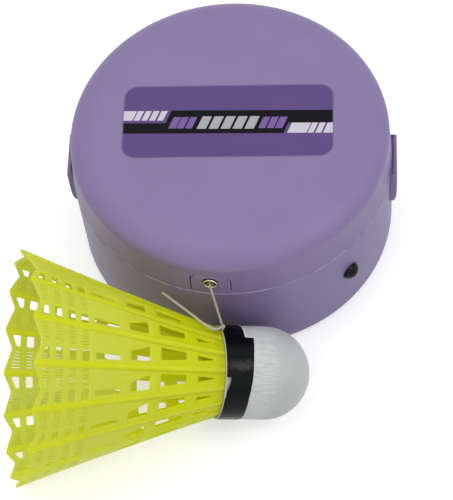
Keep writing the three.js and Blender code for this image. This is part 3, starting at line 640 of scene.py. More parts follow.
(ringLow, ringFoot), ringHigh = base["ringFoot"], base["ringTop"]
ringProfile = [(inner, ringLow), (base["spigot"], ringLow), (case["lidFoot"], ringFoot),
               (case["lidFoot"], seam), (lidRadius(ringHigh), ringHigh), (inner, ringHigh)]
tonguePart = build("tongue_part", *lathe(ringProfile, case["sides"]))
tongueBody = throughWall(tongueOutline(0, 32.2), tongue["angle"], lidRadius, tongue["edge"], 0.6, 8, sign=-1)
combine(tonguePart, tongueBody, "INTERSECT")
combine(shell, tonguePart, "UNION")


def boxBody(low, high, turnAbout=0):
    corners = [(x, y, z) for x in (low[0], high[0]) for y in (low[1], high[1]) for z in (low[2], high[2])]
    faces = [(0, 1, 3, 2), (4, 6, 7, 5), (0, 4, 5, 1), (2, 3, 7, 6), (0, 2, 6, 4), (1, 5, 7, 3)]
    return build("box", corners, faces, Matrix.Rotation(turnAbout, 4, "Z"))


# A rod along the latches' hinge
def across(name, radius, half, turnAbout, sides=24, edge=0):
    profile = rounded([(0, -half), (radius, -half, edge), (radius, half, edge), (0, half)], closed=False)
    stand = Matrix.Rotation(math.pi / 2, 4, "X")
    stand.translation = (base["pinX"], base["latchSide"], base["pinZ"])
    return build(name, *lathe(profile, sides, closed=False), Matrix.Rotation(turnAbout, 4, "Z") @ stand)


side, foot, top = base["latchSide"], base["recessBottom"], seam + 4
ends = side - base["recessHalf"], side + base["recessHalf"]
recessOutline = finely(rounded([(ends[0], foot, base["recessRound"]), (ends[1], foot, base["recessRound"]),
                                (ends[1], top), (ends[0], top)]), 1.5)
for way, turnAbout in sidesOf.items():
    seat = boxBody((base["seatX"][0], side - base["seatHalf"], base["seatBottom"]),
                   (base["seatX"][1], side + base["seatHalf"], seam - 0.002), turnAbout)
    combine(shell, bevelled(seat, base["seatEdge"]), "UNION")
    angle = 90 if way == "right" else -90
    combine(shell, throughWall(recessOutline, angle, baseRadius, base["recessEdge"], 1, 1.2), "DIFFERENCE")
    pocket = boxBody((base["recessX"], ends[0], foot + 0.3), (case["radius"] + 3, ends[1], top), turnAbout)
    combine(shell, pocket, "DIFFERENCE")
    combine(shell, across("pin_hole", base["pinHole"], base["pinHalf"], turnAbout), "DIFFERENCE")


def drilled(target, radius, height, angle, surface, edge, depth):
    circle = arcPoints(0, height, radius, radius, 0, 360, 48)[:-1]
    combine(target, throughWall(circle, angle, surface, edge, 1, depth), "DIFFERENCE")


seatHeight, holeEdge = eyelet["height"] + base["seatShift"], base["holeEdge"]
drilled(shell, base["eyeletSeat"], seatHeight, tongue["angle"], lidRadius, holeEdge, base["seatDepth"])
drilled(shell, base["eyeletHole"], eyelet["height"], tongue["angle"], lidRadius, 0, 5)
drilled(shell, base["plugHole"], base["plugHeight"], base["plugAngle"], baseRadius, holeEdge, 5)
finish(shell, basePlastic, "base", ["base_shell"])
print("base made")

# Lid: shoulder, rebate, keeper tabs, notch for the tongue and the label's recess
lid = {
    "topRadius": 36.3, "innerTopRadius": 35.3, "innerReach": 8, "innerDrop": 4.4, "ceiling": 46.8, "rebate": 45,
    "rebateTop": 35.6, "rimRound": 0.15, "keeperX": (43.3, 44.8), "keeperHalf": 5, "keeperZ": (27.5, 38.2),
    "keeperEdge": 0.25, "notchFoot": 27.3,
}
label = {
    "width": 59.5, "depth": 24.3, "round": 4, "thickness": 0.4, "aside": -0.15, "offset": 1.2, "gap": 0.05,
    "proud": 0.03, "edge": 0.08,
}
rimFoot = seam + case["seamGap"]
profile = [(0, case["height"])]
profile += arcPoints(lid["topRadius"], case["shoulder"], case["shoulderReach"], case["shoulderDrop"], 90, 0, 28)
profile += rounded([(case["lidTopRadius"], case["shoulder"]), (case["lidFoot"], rimFoot, lid["rimRound"]),
                    (lid["rebate"], rimFoot, lid["rimRound"]), (lid["rebate"], lid["rebateTop"]),
                    (case["lidInner"], lid["rebateTop"])], closed=False)[1:]
domeFoot = lid["ceiling"] - lid["innerDrop"]
profile += arcPoints(lid["innerTopRadius"], domeFoot, lid["innerReach"], lid["innerDrop"], 0, 90, 12)
cover = build("lid_shell_look", *lathe(profile + [(0, lid["ceiling"])], case["sides"], closed=False))
for turnAbout in sidesOf.values():
    low, high = zip(lid["keeperX"], (-lid["keeperHalf"], lid["keeperHalf"]), lid["keeperZ"])
    combine(cover, bevelled(boxBody(low, high, turnAbout), lid["keeperEdge"]), "UNION")
notch = tongueOutline(case["clearance"], lid["notchFoot"])
combine(cover, throughWall(notch, tongue["angle"], lidRadius, tongue["notchEdge"], 1, 8), "DIFFERENCE")


def labelSlab(name, grown, low, high):
    x, y, r = label["width"] / 2 + grown, label["depth"] / 2 + grown, label["round"] + grown
    outline = rounded([(x, y, r), (-x, y, r), (-x, -y, r), (x, -y, r)], steps=12)
    rings = [[(px + label["aside"], py + label["offset"], z) for px, py in outline] for z in (low, high)]
    return build(name, *loft(rings))


labelFloor = case["height"] - label["thickness"]
combine(cover, labelSlab("recess", label["gap"], labelFloor, case["height"] + 1), "DIFFERENCE")
finish(cover, casePlastic, "lid", ["lid_shell"])
sticker = labelSlab("lid_label_look", 0, labelFloor + 0.01, case["height"] + label["proud"])
bevelled(sticker, label["edge"])

# Label print: bars in a slanted frame, in mm from the label's middle; each kind has its colour and its bars
printed = {
    "slant": 0.386, "tilt": 0.01, "shift": 0.25, "ground": (linear(92, 76, 130), linear(102, 79, 131)),
    "black": (linear(14, 12, 17), [(-40, 17.1, -3.94, -0.42), (-17.6, 40, -0.42, 3.83)]),
    "purple": (linear(122, 97, 160), [(left, end, -2.25, 1.58) for left, end in (
        (-16.1, -13.95), (-13.72, -11.75), (-11.33, -9.4), (9.3, 11.25), (11.67, 13.64), (14.0, 16.1))]),
    "pale": (linear(172, 172, 177), [(left, end, -2.4, 1.8) for left, end in (
        (-7.98, -5.36), (-4.61, -1.99), (-1.24, 1.38), (2.13, 4.75), (5.5, 8.12))]),
    "white": (linear(206, 203, 214), [(left, end, 0.45, 3.66) for left, end in (
        (-40, -27.4), (-27.05, -25.4), (-24.82, -23.2), (-22.65, -21), (-20.4, -18.65))] + [
        (left, end, -3.83, -0.45) for left, end in ((18.1, 23.5), (23.8, 25.4), (25.95, 27.6), (28.15, 40))]),
    "corner": linear(142, 126, 172), "roughness": 0.36, "depth": 0.01,
}
labelLook, tree, sockets, coordinates = newMaterial("label", Specular_IOR_Level=0.08)
place = scaled(tree, coordinates["Object"], 1 / mm)
x, y, _ = parted(tree, place)
up = calc(tree, "ADD", y, calc(tree, "MULTIPLY_ADD", x, printed["tilt"], printed["shift"] - label["offset"]))
slanted = calc(tree, "MULTIPLY_ADD", up, -printed["slant"], x)
color = blended(tree, noisy(tree, place, 0.05), *printed["ground"])
for kind in ("black", "purple", "pale", "white"):
    ink, bars = printed[kind]
    mask = 0.0
    for limits in bars:
        group = node(tree, "ShaderNodeGroup", node_tree=bar)
        for key, value in zip(barInputs, (slanted, up, *limits, mask)):
            put(tree, group.inputs[key], value)
        mask = group.outputs[0]
    color = blended(tree, mask, color, ink)
beyond = []
for along, middle, wide in ((x, label["aside"], label["width"]), (y, label["offset"], label["depth"])):
    off = minus(tree, calc(tree, "ABSOLUTE", minus(tree, along, middle)), wide / 2 - label["round"])
    beyond.append(calc(tree, "POWER", calc(tree, "MAXIMUM", off, 0), 2))
corner = calc(tree, "SQRT", calc(tree, "ADD", *beyond))
rim = spread(tree, corner, label["round"] - 0.3, label["round"] - 0.1)
put(tree, sockets["Base Color"], blended(tree, rim, color, printed["corner"]))
put(tree, sockets["Roughness"], printed["roughness"])
bump(tree, sockets, noisy(tree, place, 0.6), printed["depth"])
finish(sticker, labelLook, "lid", ["lid_label"])
print("lid made")

# Latches with their pins
latch = {
    "width": 14.1, "outer": 47.3, "inner": 45.1, "knuckle": 1.5, "edge": 0.35,
    "foot": [(47.2, 24), (46.95, 21.3), (46.3, 19.6), (45.1, 19.8)],
    "lip": 46.34, "groove": 0.7, "grooveEnd": 0.25, "grooveEdge": 0.15,
    "pin": 0.6, "pinHalf": 7.75, "pinEdge": 0.15, "play": 0.3,
}
knuckle, hingeX, hingeZ = latch["knuckle"], base["pinX"], base["pinZ"]
latchOutline = arcPoints(hingeX, hingeZ, knuckle, knuckle, -90, -270, 16) + [
    (latch["inner"], hingeZ + knuckle + latch["inner"] - hingeX), (latch["inner"], seam),
    (latch["outer"], seam)] + latch["foot"]
low, high = (base["latchSide"] + sign * latch["width"] / 2 for sign in (-1, 1))
for way, turnAbout in sidesOf.items():
    rings = [[(x, y, z) for x, z in latchOutline] for y in (low, high)]
    body = build(f"latch_{way}_look", *loft(rings), Matrix.Rotation(turnAbout, 4, "Z"))
    bevelled(body, latch["edge"], 3)
    pinHole = across("pin_hole", latch["pin"] + latch["play"], latch["width"] / 2 + 1, turnAbout)
    combine(body, pinHole, "DIFFERENCE")
    groove = boxBody((latch["inner"] - 1, low + latch["grooveEnd"], seam - latch["groove"]),
                     (latch["lip"], high - latch["grooveEnd"], seam + 1), turnAbout)
    combine(body, bevelled(groove, latch["grooveEdge"]), "DIFFERENCE")
    finish(body, casePlastic, f"{way}_latch", [f"latch_{way}"])
    pin = across(f"latch_pin_{way}_look", latch["pin"], latch["pinHalf"], turnAbout, 32, latch["pinEdge"])
    finish(pin, steel, "base", [f"latch_pin_{way}"])
print("latches made")


def ringProfileOf(r0, r1, z0, z1, edge):
    return rounded([(r0, z0, edge), (r1, z0, edge), (r1, z1, edge), (r0, z1, edge)], steps=3)


def turnedPiece(name, profile, closed, stand, material, body, sides):
    piece = build(name + "_look", *lathe(profile, sides, closed), stand)
    if name == "tank_cover":
        for turnAbout in sidesOf.values():
            combine(piece, boxBody(*tank["seatCut"], turnAbout), "DIFFERENCE")
    if name in ("reel_spool", "reel_cap"):
        for i in range(reel["holes"]):
            spot = roundAxis(tau * i / reel["holes"], reel["holeCircle"], 0)
            hole = lathe([(0, 20), (reel["hole"], 20), (reel["hole"], 45), (0, 45)], 40, closed=False)
            combine(piece, build("hole", *hole, Matrix.Translation(spot)), "DIFFERENCE")
    if name == "reel_screw":
        half, depth = screw["slot"]
        cut = boxBody((-4, -half, screw["seat"] + screw["rise"] - depth), (4, half, 50))
        combine(piece, cut, "DIFFERENCE")
    finish(piece, material, body, [name])


# Fill plug: a rubber dome on a tapered stem
plug = {
    "seat": 46.05, "stem": 4.6, "stemRadius": 1.8, "tipRadius": 1.5, "tipRound": 0.3,
    "head": 2.75, "rise": 2.15,
}
ballRadius = (plug["head"] ** 2 + plug["rise"] ** 2) / 2 / plug["rise"]
ballMiddle = plug["seat"] + plug["rise"] - ballRadius
rimAngle = math.degrees(math.asin(1 - plug["rise"] / ballRadius))
tip = plug["seat"] - plug["stem"]
plugProfile = rounded([
    (0, tip), (plug["tipRadius"], tip, plug["tipRound"]), (plug["stemRadius"], plug["seat"])], closed=False)
plugProfile += arcPoints(0, ballMiddle, ballRadius, ballRadius, rimAngle, 90, 12)
inHole = outward(base["plugAngle"], base["plugHeight"])
turnedPiece("fill_plug", plugProfile, False, inHole, rubber, "plug", 64)

# Eyelet with its washer: a barrel and a rolled bead
bore, barrel, flange, back = (eyelet[k] for k in ("bore", "barrel", "flange", "back"))
flangeBack = eyelet["face"] - eyelet["thickness"]
bead = (flange - eyelet["mouth"]) / 2
eyeletProfile = rounded([
    (bore, back, 0.15), (barrel, back, 0.15), (barrel, flangeBack), (flange, flangeBack, 0.1)], closed=False)
eyeletProfile += arcPoints(flange - bead, eyelet["face"] - bead, bead, bead, 0, 180, 14)
eyeletProfile += [(eyelet["mouth"] - 0.08, flangeBack - 0.3), (bore, flangeBack - 1)]
laid = outward(tongue["angle"], eyelet["height"])
turnedPiece("eyelet", eyeletProfile, True, laid, brass, "base", 64)
turnedPiece("eyelet_washer", ringProfileOf(*eyelet["washer"], 0.08), True, laid, steel, "base", 48)

# Anti-slip pad with ring grooves underneath
pad = {
    "radius": 38, "thickness": 1.2, "grooves": 6, "first": 6, "pitch": 5.6, "width": 1.2, "depth": 0.3,
    "slant": 0.2, "flatFrom": 36, "edge": 0.3,
}
padProfile = [(0, 0)]
for i in range(pad["grooves"]):
    start, slant, depth = pad["first"] + i * pad["pitch"], pad["slant"], pad["depth"]
    end = start + pad["width"]
    padProfile += [(start, 0), (start + slant, depth), (end - slant, depth), (end, 0)]
padProfile += rounded([(pad["flatFrom"], 0), (pad["radius"], 0, pad["edge"]),
                       (pad["radius"], pad["thickness"], pad["edge"]), (0, pad["thickness"])], closed=False)
standing = Matrix.Identity(4)
turnedPiece("anti_slip_pad", padProfile, False, standing, padFoam, "base", 128)

# Tank cover with raised rings and the reel's post
tank = {
    "low": 24.6, "top": 26.4, "radius": 43.5, "shoulder": 5.5, "shoulderTop": 27.2,
    "post": 3.5, "postTop": 38, "bore": 1.2, "boreEnd": 31.2,
    "rings": (14, 22, 30), "ringHalf": (0.6, 0.45), "ringRise": 0.35, "ringEdge": 0.1,
    "seatCut": ((40, -9.95, 18), (52, 9.95, 33)),
}
low, top, post, bore = (tank[k] for k in ("low", "top", "post", "bore"))
wide, narrow = tank["ringHalf"]
ridge = top + tank["ringRise"]
tankProfile = [(0, low), (tank["radius"], low, 0.3), (tank["radius"], top, 0.3)]
for r in reversed(tank["rings"]):
    for off, z in ((wide, top), (narrow, ridge), (-narrow, ridge), (-wide, top)):
        tankProfile.append((r + off, z, tank["ringEdge"]))
tankProfile += [
    (tank["shoulder"], top, 0.3), (tank["shoulder"], tank["shoulderTop"], 0.2), (post, tank["shoulderTop"]),
    (post, tank["postTop"], 0.25), (bore, tank["postTop"], 0.1), (bore, tank["boreEnd"]), (0, tank["boreEnd"])]
tankProfile = rounded(tankProfile, 3, closed=False)
turnedPiece("tank_cover", tankProfile, False, standing, innerPlastic, "base", 160)

# Reel: spool and cap, with holes in both flanges, held by a washer and a slotted screw
reel = {
    "bore": 3.8, "flange": 27, "hub": 10, "bottom": 27.5, "hubBottom": 28.9, "hubTop": 36.3, "top": 37.7,
    "edge": 0.5, "holes": 6, "hole": 3.6, "holeCircle": 22.4, "washer": (1.2, 6, 38, 38.8),
}
bore, flange, hub, edge = (reel[k] for k in ("bore", "flange", "hub", "edge"))
spoolProfile = rounded([
    (bore, reel["bottom"], 0.2), (flange, reel["bottom"], edge), (flange, reel["hubBottom"], edge),
    (hub, reel["hubBottom"], edge), (hub, reel["hubTop"]), (bore, reel["hubTop"])])
capProfile = ringProfileOf(bore, flange, reel["hubTop"] + 0.01, reel["top"], edge)
for name, profile in (("reel_spool", spoolProfile), ("reel_cap", capProfile)):
    turnedPiece(name, profile, True, standing, innerPlastic, "reel", 160)
turnedPiece("reel_washer", ringProfileOf(*reel["washer"], 0.15), True, standing, steel, "base", 64)
screw = {
    "tip": 31.5, "thread": 0.9, "threadDepth": 0.2, "tipInset": 0.3, "runOut": 0.9, "seat": 38.8, "head": 2.6,
    "rise": 1.6, "slot": (0.35, 0.6), "pitch": 0.5,
}
thread, pitch, seat, height = (screw[k] for k in ("thread", "pitch", "seat", "tip"))
screwProfile = [(0, height), (thread - screw["tipInset"], height)]
while height < seat - screw["runOut"]:
    screwProfile += [(thread, height + pitch / 2), (thread - screw["threadDepth"], height + pitch)]
    height += pitch
screwProfile += [(thread, seat - 0.3), (thread, seat), (screw["head"], seat)]
screwProfile += arcPoints(0, seat + screw["rise"] / 2, screw["head"], screw["rise"] / 2, 0, 90, 10)
turnedPiece("reel_screw", screwProfile, False, standing, steel, "base", 48)

# Balance weight inside the shuttlecock's head
weight = {"radius": 5, "from": -68.5, "to": -65.5, "edge": 0.3}
radius, low, high, edge = (weight[k] for k in ("radius", "from", "to", "edge"))
weightProfile = rounded([(0, low), (radius, low, edge), (radius, high, edge), (0, high)], closed=False)
turnedPiece("nose_weight", weightProfile, False, shuttleFrame, steel, "shuttle", 48)
print("turned pieces made")

# Spare cord: one thread wound up and down by turns, layer on layer, on a plain core
winding = {
    "Layers": 4, "Turns": 9, "Steps": 40, "Inner radius": 19.3, "Layer rise": 0.65, "Low": 29.55, "High": 35.65,
    "Thread": 0.34,
}
spareCore = (10.3, 19.3, 29.25, 35.95, 0.3)
inputs = [(label, "Int" if isinstance(value, int) else "Float") for label, value in winding.items()]
tree, gin, gout, ids = geometryTree("winding", inputs + [("Material", "Material")])
perLayer = times(tree, gin["Turns"], gin["Steps"])
count = calc(tree, "ADD", times(tree, perLayer, gin["Layers"]), 1)
line = node(tree, "GeometryNodeMeshLine", {"Count": count})
curve = node(tree, "GeometryNodeMeshToCurve", {"Mesh": line.outputs[0]})
index = node(tree, "GeometryNodeInputIndex").outputs[0]
share = calc(tree, "DIVIDE", index, perLayer)
angle = times(tree, calc(tree, "DIVIDE", index, gin["Steps"]), tau)
layer = calc(tree, "FLOOR", share)
stepOver = calc(tree, "DIVIDE", 0.5, gin["Turns"])  # half a turn takes the thread out to the next layer
climb = spread(tree, calc(tree, "FRACT", share), 0, stepOver, minus(tree, layer, 1), layer)
radius = calc(tree, "MULTIPLY_ADD", calc(tree, "MAXIMUM", climb, 0), gin["Layer rise"], gin["Inner radius"])
upDown = {0: calc(tree, "PINGPONG", share, 1), 3: gin["Low"], 4: gin["High"]}
spot = node(tree, "ShaderNodeCombineXYZ", {
    0: times(tree, radius, calc(tree, "COSINE", angle)), 1: times(tree, radius, calc(tree, "SINE", angle)),
    2: node(tree, "ShaderNodeMapRange", upDown).outputs[0]})
moved = node(tree, "GeometryNodeSetPosition", {"Geometry": curve.outputs[0], "Position": spot.outputs[0]})
section = node(tree, "GeometryNodeCurvePrimitiveCircle", {"Resolution": 6, "Radius": gin["Thread"]})
solid = node(tree, "GeometryNodeCurveToMesh", {
    "Curve": moved.outputs[0], "Profile Curve": section.outputs[0], "Fill Caps": True})
endTree(tree, gin, gout, node(tree, "GeometryNodeRealizeInstances", {0: solid.outputs[0]}).outputs[0])
spare = build("spare_cord_look", [(0, 0, 0)], [])
grow(spare, tree, ids, {**winding, "Material": cordCover})
spare.data.transform(Matrix.Scale(mm, 4))
finish(spare, cordCover, "reel", ["spare_cord_turns"], 60, weighted=False)
core = build("spare_cord_core_look", *lathe(ringProfileOf(*spareCore), 96))
finish(core, cordCover, "reel", ["spare_cord_core"])
print("winding made")

# Skirt: one feather's cell of rib, windows, slits and rim, in shares of the pitch round it and mm along it.
# A window has its start and end as shares of the length, and its two sides at the start and at the end
skirt = {
    "feathers": 16, "length": 55.2, "rim": 32.77, "neck": 12.5, "flare": 1.06, "firstTip": 19.5, "wall": 0.85,
    "toothDepth": 2.3, "valleyShare": 0.43, "rimStrip": 1.6, "edge": 0.12, "slitEdge": 0.05,
    "ribHalf": 0.75, "ribProud": 0.2, "ribProudNeck": 0.4, "ribInside": 0.2, "vaneSunk": 0.15,
    "bandProud": 0.12, "firstBand": 3, "windowRound": 0.35, "slitRound": 0.12, "slitPitch": 0.86,
    "slitWidth": 0.22, "slitShares": (0.46, 0.91), "slitRows": 4, "slitStart": 3, "slitEnd": 0.1,
    "slitTop": 2.1, "slitOffRim": 1.2, "slitStep": 1.3, "rimParts": 26, "neckParts": 6,
    "row": 0.9, "firstRow": 1.2, "rowsEnd": 1.6, "besideRib": (0.35, 0.7, 1.05), "across": 1.3, "gap": 0.3,
    "windows": [
        (0, 0.078, (0.09, 0.37), (0.09, 0.37)), (0.109, 0.145, (0.09, 0.37), (0.09, 0.37)),
        (0.178, 0.214, (0.09, 0.37), (0.09, 0.37)), (0.244, 0.282, (0.09, 0.37), (0.09, 0.37)),
        (0.314, 0.444, (0.15, 0.33), (0.18, 0.3)), (0.498, 0.6, (0.2, 0.48), (0.21, 0.73)),
        (0.659, 0.796, (0.27, 0.77), (0.38, 0.71)), (0.858, 0.943, (0.38, 0.65), (0.49, 0.55)),
    ],
}
length, feathers = skirt["length"], skirt["feathers"]


def skirtRadius(t):
    return skirt["neck"] + (skirt["rim"] - skirt["neck"]) * max(0, 1 - t / length) ** skirt["flare"]


def pitchAt(t):
    return tau * skirtRadius(t) / feathers


def step01(x):
    x = min(1, max(0, x))
    return x * x * (3 - 2 * x)


# The toothed rim: the nearer of two slopes, with a soft valley and a soft tip
def rimLine(u):
    a, b = (skirt["toothDepth"] * s for s in (u / skirt["valleyShare"], (1 - u) / (1 - skirt["valleyShare"])))
    low = (a + b - math.sqrt((a - b) ** 2 + 0.15)) / 2 + 0.05
    return math.sqrt(low * low + 0.04) - 0.2 if low > 0 else 0


# Solid bands between the windows towards the neck
bandEdges = [(a[1] * length, b[0] * length) for a, b in zip(skirt["windows"], skirt["windows"][1:])]
bandEdges = bandEdges[skirt["firstBand"]:] + [(skirt["windows"][-1][1] * length, length + 2)]


def relief(u, t, outer):
    near = min(u, 1 - u) * pitchAt(t)
    rib = 1 - step01((near - skirt["ribHalf"] * 0.7) / (skirt["ribHalf"] * 0.6))
    if not outer:
        return -skirt["ribInside"] * rib
    toNeck = step01((t / length - 0.2) / 0.5)
    proud = skirt["ribProud"] + (skirt["ribProudNeck"] - skirt["ribProud"]) * toNeck
    band = max(step01((t - a) / 0.5 + 0.5) * step01((b - t) / 0.5 + 0.5) for a, b in bandEdges)
    return max(rib * proud, band * skirt["bandProud"]) - skirt["vaneSunk"]


# A depth counts from the outer face, or below zero from the inner one
def onSkirt(u, t, depth):
    if depth >= 0:
        r = skirtRadius(t) + relief(u, t, True) - depth
    else:
        r = skirtRadius(t) - skirt["wall"] + relief(u, t, False) - depth - tiny
    return roundAxis(math.radians(skirt["firstTip"]) + u * tau / feathers, r, -t)


# Loops of the openings in mm, x measured from the rib at the loop's own height: three rings round the edge
def hole(corners, radius, edge, step=0.9):
    loop = finely(rounded([(u * pitchAt(t), t, radius) for u, t in corners], 3), step)
    rings = [offsetLoop(loop, grown) for grown in (edge, 0.3 * edge, 0)]
    return [[(x / pitchAt(t), t) for x, t in ring] for ring in rings], edge


holes = []
for i, (start, end, low, high) in enumerate(skirt["windows"]):
    first = [start * length if i else rimLine(u) + skirt["rimStrip"] for u in low]
    corners = [(low[0], first[0]), (low[1], first[1]), (high[1], end * length), (high[0], end * length)]
    holes.append(hole(corners, skirt["windowRound"], skirt["edge"]))
slitFrom, slitTo = skirt["slitShares"]
for i, (start, end, *_) in enumerate(skirt["windows"][: skirt["slitRows"]]):
    low = start * length + (skirt["slitEnd"] if i else skirt["slitStart"])
    high = end * length - skirt["slitEnd"]
    halfShare = skirt["slitWidth"] / 2 / pitchAt(low)
    many = round((slitTo - slitFrom) * pitchAt(low) / skirt["slitPitch"])
    for k in range(many):
        u = slitFrom + (slitTo - slitFrom) * (k + 0.5) / many
        at = low if i else max(skirt["slitTop"], rimLine(u) + skirt["slitOffRim"])
        corners = [(u - halfShare, at), (u + halfShare, at), (u + halfShare, high), (u - halfShare, high)]
        holes.append(hole(corners, skirt["slitRound"], skirt["slitEdge"], skirt["slitStep"]))

rimShares = [k / skirt["rimParts"] for k in range(skirt["rimParts"] + 1)]
rims = [[(u, rimLine(u) + grown) for u in rimShares] for grown in (skirt["edge"], 0.3 * skirt["edge"], 0)]
rowCount = int((length - skirt["rowsEnd"]) / skirt["row"]) + 1
rows = [skirt["firstRow"] + skirt["row"] * k for k in range(rowCount)]
flatPoints, borders = [], []


def addLine(line, closed=False):
    first = len(flatPoints)
    flatPoints.extend(line)
    ids = list(range(first, first + len(line)))
    borders.extend(zip(ids, ids[1:] + ids[:1]) if closed else zip(ids, ids[1:]))
    return ids


loopIds = [addLine(rings[0], closed=True) for rings, _ in holes]
rimIds = addLine(rims[0])
leftIds = addLine([(0, t) for t in rows] + [(0, length)])
rightIds = addLine([(1, t) for t in rows])
neckIds = leftIds[-1:] + addLine([(k / skirt["neckParts"], length) for k in range(1, skirt["neckParts"] + 1)])
borders += [(rimIds[0], leftIds[0]), (rimIds[-1], rightIds[0]), (rightIds[-1], neckIds[-1])]
borders += [(neckIds[0], neckIds[1])]


def contains(loop, u, t):
    inside = False
    for (x0, y0), (x1, y1) in zip(loop, loop[1:] + loop[:1]):
        if (y0 > t) != (y1 > t) and u < x0 + (x1 - x0) * (t - y0) / (y1 - y0):
            inside = not inside
    return inside


def clearOf(loop, u, t, gap):
    wide = pitchAt(t)
    if not min(p[1] for p in loop) - gap < t < max(p[1] for p in loop) + gap:
        return True
    return all(math.hypot((u - x) * wide, t - y) > gap for x, y in loop)


# Points inside the faces: close together beside the ribs, further apart between them
for t in rows:
    wide = pitchAt(t)
    marks = [x / wide for x in skirt["besideRib"]]
    middle = max(1, round((wide - 2.4) / skirt["across"]))
    shares = marks + [1 - m for m in marks]
    shares += [marks[-1] + (1 - 2 * marks[-1]) * k / middle for k in range(1, middle)]
    for u in shares:
        if t < rimLine(u) + 0.5 or t > length - 0.3:
            continue
        if all(clearOf(rings[0], u, t, skirt["gap"]) and not contains(rings[0], u, t) for rings, _ in holes):
            flatPoints.append((u, t))
cellWide = 8
flatVectors = [Vector((u * cellWide, t)) for u, t in flatPoints]
found, _, triangles, origin, *_ = delaunay_2d_cdt(flatVectors, borders, [], 0, 1e-6)
where = {source: i for i, sources in enumerate(origin) for source in sources}
flatFound = [(p.x / cellWide, p.y) for p in found]
kept = []
for triangle in triangles:
    u, t = (sum(flatFound[i][k] for i in triangle) / 3 for k in (0, 1))
    if t > between(rims[0], u) and not any(contains(rings[0], u, t) for rings, _ in holes):
        kept.append(triangle)
cellPoints = [onSkirt(u, t, depth) for depth in (0, -tiny) for u, t in flatFound]
inwards = len(flatFound)
cellFaces = [list(f) for f in kept] + [[i + inwards for i in reversed(f)] for f in kept]


# The wall of an opening from the outer face to the inner one
def wallOf(ids, rings, edge, closed):
    levels = [[where[i] for i in ids]]
    for ring, depth in ((rings[1], 0.3 * edge), (rings[2], edge), (rings[2], -edge), (rings[1], -0.3 * edge)):
        first = len(cellPoints)
        cellPoints.extend(onSkirt(u, t, depth) for u, t in ring)
        levels.append(list(range(first, first + len(ring))))
    levels.append([i + inwards for i in levels[0]])
    for a, b in zip(levels, levels[1:]):
        pairs = list(zip(a, b))
        for (p, q), (r, s) in zip(pairs, pairs[1:] + (pairs[:1] if closed else [])):
            cellFaces.append([p, r, s, q])


for ids, (rings, edge) in zip(loopIds, holes):
    wallOf(ids, rings, edge, closed=True)
wallOf(rimIds, rims, skirt["edge"], closed=False)
neckFound = [where[i] for i in neckIds]
cellFaces += [[a, b, b + inwards, a + inwards] for a, b in zip(neckFound, neckFound[1:])]
cell = build("shuttle_skirt_look", cellPoints, cellFaces)

tree, gin, gout, featherIds = geometryTree("feathers", [
    ("Feathers", "Int"), ("Merge distance", "Float"), ("Material", "Material")])
line = node(tree, "GeometryNodeMeshLine", {"Count": gin["Feathers"], "Offset": (0, 0, 0)})
spin = calc(tree, "DIVIDE", times(tree, node(tree, "GeometryNodeInputIndex").outputs[0], tau), gin["Feathers"])
turns = node(tree, "ShaderNodeCombineXYZ", {"Z": spin})
copies = node(tree, "GeometryNodeInstanceOnPoints", {
    "Points": line.outputs[0], "Instance": gin["Geometry"], "Rotation": turns.outputs[0]})
real = node(tree, "GeometryNodeRealizeInstances", {0: copies.outputs[0]})
joined = node(tree, "GeometryNodeMergeByDistance", {
    "Geometry": real.outputs[0], "Distance": gin["Merge distance"]})
endTree(tree, gin, gout, joined.outputs[0])
featherTree = tree


# The shuttlecock's own coordinates in a material, in mm
def ownPlace(tree, coordinates):
    values = {"Vector": coordinates["Object"], "Location": tuple(shuttleFrame.translation * mm),
              "Rotation": tuple(shuttleFrame.to_euler()), "Scale": (mm, mm, mm)}
    return node(tree, "ShaderNodeMapping", values, vector_type="TEXTURE").outputs[0]


# Nylon: bright and a little translucent, thinner between the ribs; each rib has a painted highlight on its
# ridge and a painted shade line below it
nylonLook = {
    "thick": linear(216, 220, 10), "thin": linear(209, 214, 86), "neck": linear(207, 206, 6),
    "through": linear(240, 244, 66), "ridge": linear(226, 232, 66), "highlightHalf": 0.3,
    "groove": linear(172, 172, 8), "shadeAt": 1.0, "shadeHalf": 0.42, "glow": 0.08, "share": 0.5,
    "thinFrom": (0.8, 0.35), "neckFrom": (0.935, 0.985), "ribsFrom": (0.15, 0.7), "ribsStrength": (0.25, 0.85),
}
nylon, tree, sockets, coordinates = newMaterial("skirt_nylon", Specular_IOR_Level=0.4)
own = ownPlace(tree, coordinates)
x, y, along = parted(tree, own)


# A share that changes between two heights, which are shares of the length from the tips
def heightShare(heights, *strength):
    return spread(tree, along, *(-share * length for share in heights), *strength)


turned01 = minus(tree, calc(tree, "ARCTAN2", y, x), math.radians(skirt["firstTip"]))
turned01 = calc(tree, "FRACT", times(tree, turned01, feathers / tau))
pitchHere = times(tree, offAxis(tree, own), tau / feathers)
belowRib = times(tree, minus(tree, 1, turned01), pitchHere)
toRib = times(tree, calc(tree, "PINGPONG", turned01, 0.5), pitchHere)
thin = spread(tree, toRib, skirt["ribHalf"] * 0.7, skirt["ribHalf"] * 1.6)
# Painted shade: a dark line just below each rib; painted highlight: a pale line along each rib's ridge; both
# grow towards the neck
fromRibShade = calc(tree, "ABSOLUTE", minus(tree, belowRib, nylonLook["shadeAt"]))
groove = spread(tree, fromRibShade, nylonLook["shadeHalf"], 0)
ridge = spread(tree, toRib, nylonLook["highlightHalf"] * 1.8, nylonLook["highlightHalf"] * 0.5)
towardsNeck = heightShare(nylonLook["ribsFrom"], *nylonLook["ribsStrength"])
tint = nylonLook["thick"]
for mask, color in ((times(tree, thin, heightShare(nylonLook["thinFrom"])), nylonLook["thin"]),
                    (heightShare(nylonLook["neckFrom"]), nylonLook["neck"]),
                    (times(tree, groove, towardsNeck), nylonLook["groove"]),
                    (times(tree, ridge, towardsNeck), nylonLook["ridge"])):
    tint = blended(tree, mask, tint, color)
tint = grained(tree, sockets, scaled(tree, coordinates["Object"], 1 / mm), tint, 0.32, 0.8, 0.03, 0.03)
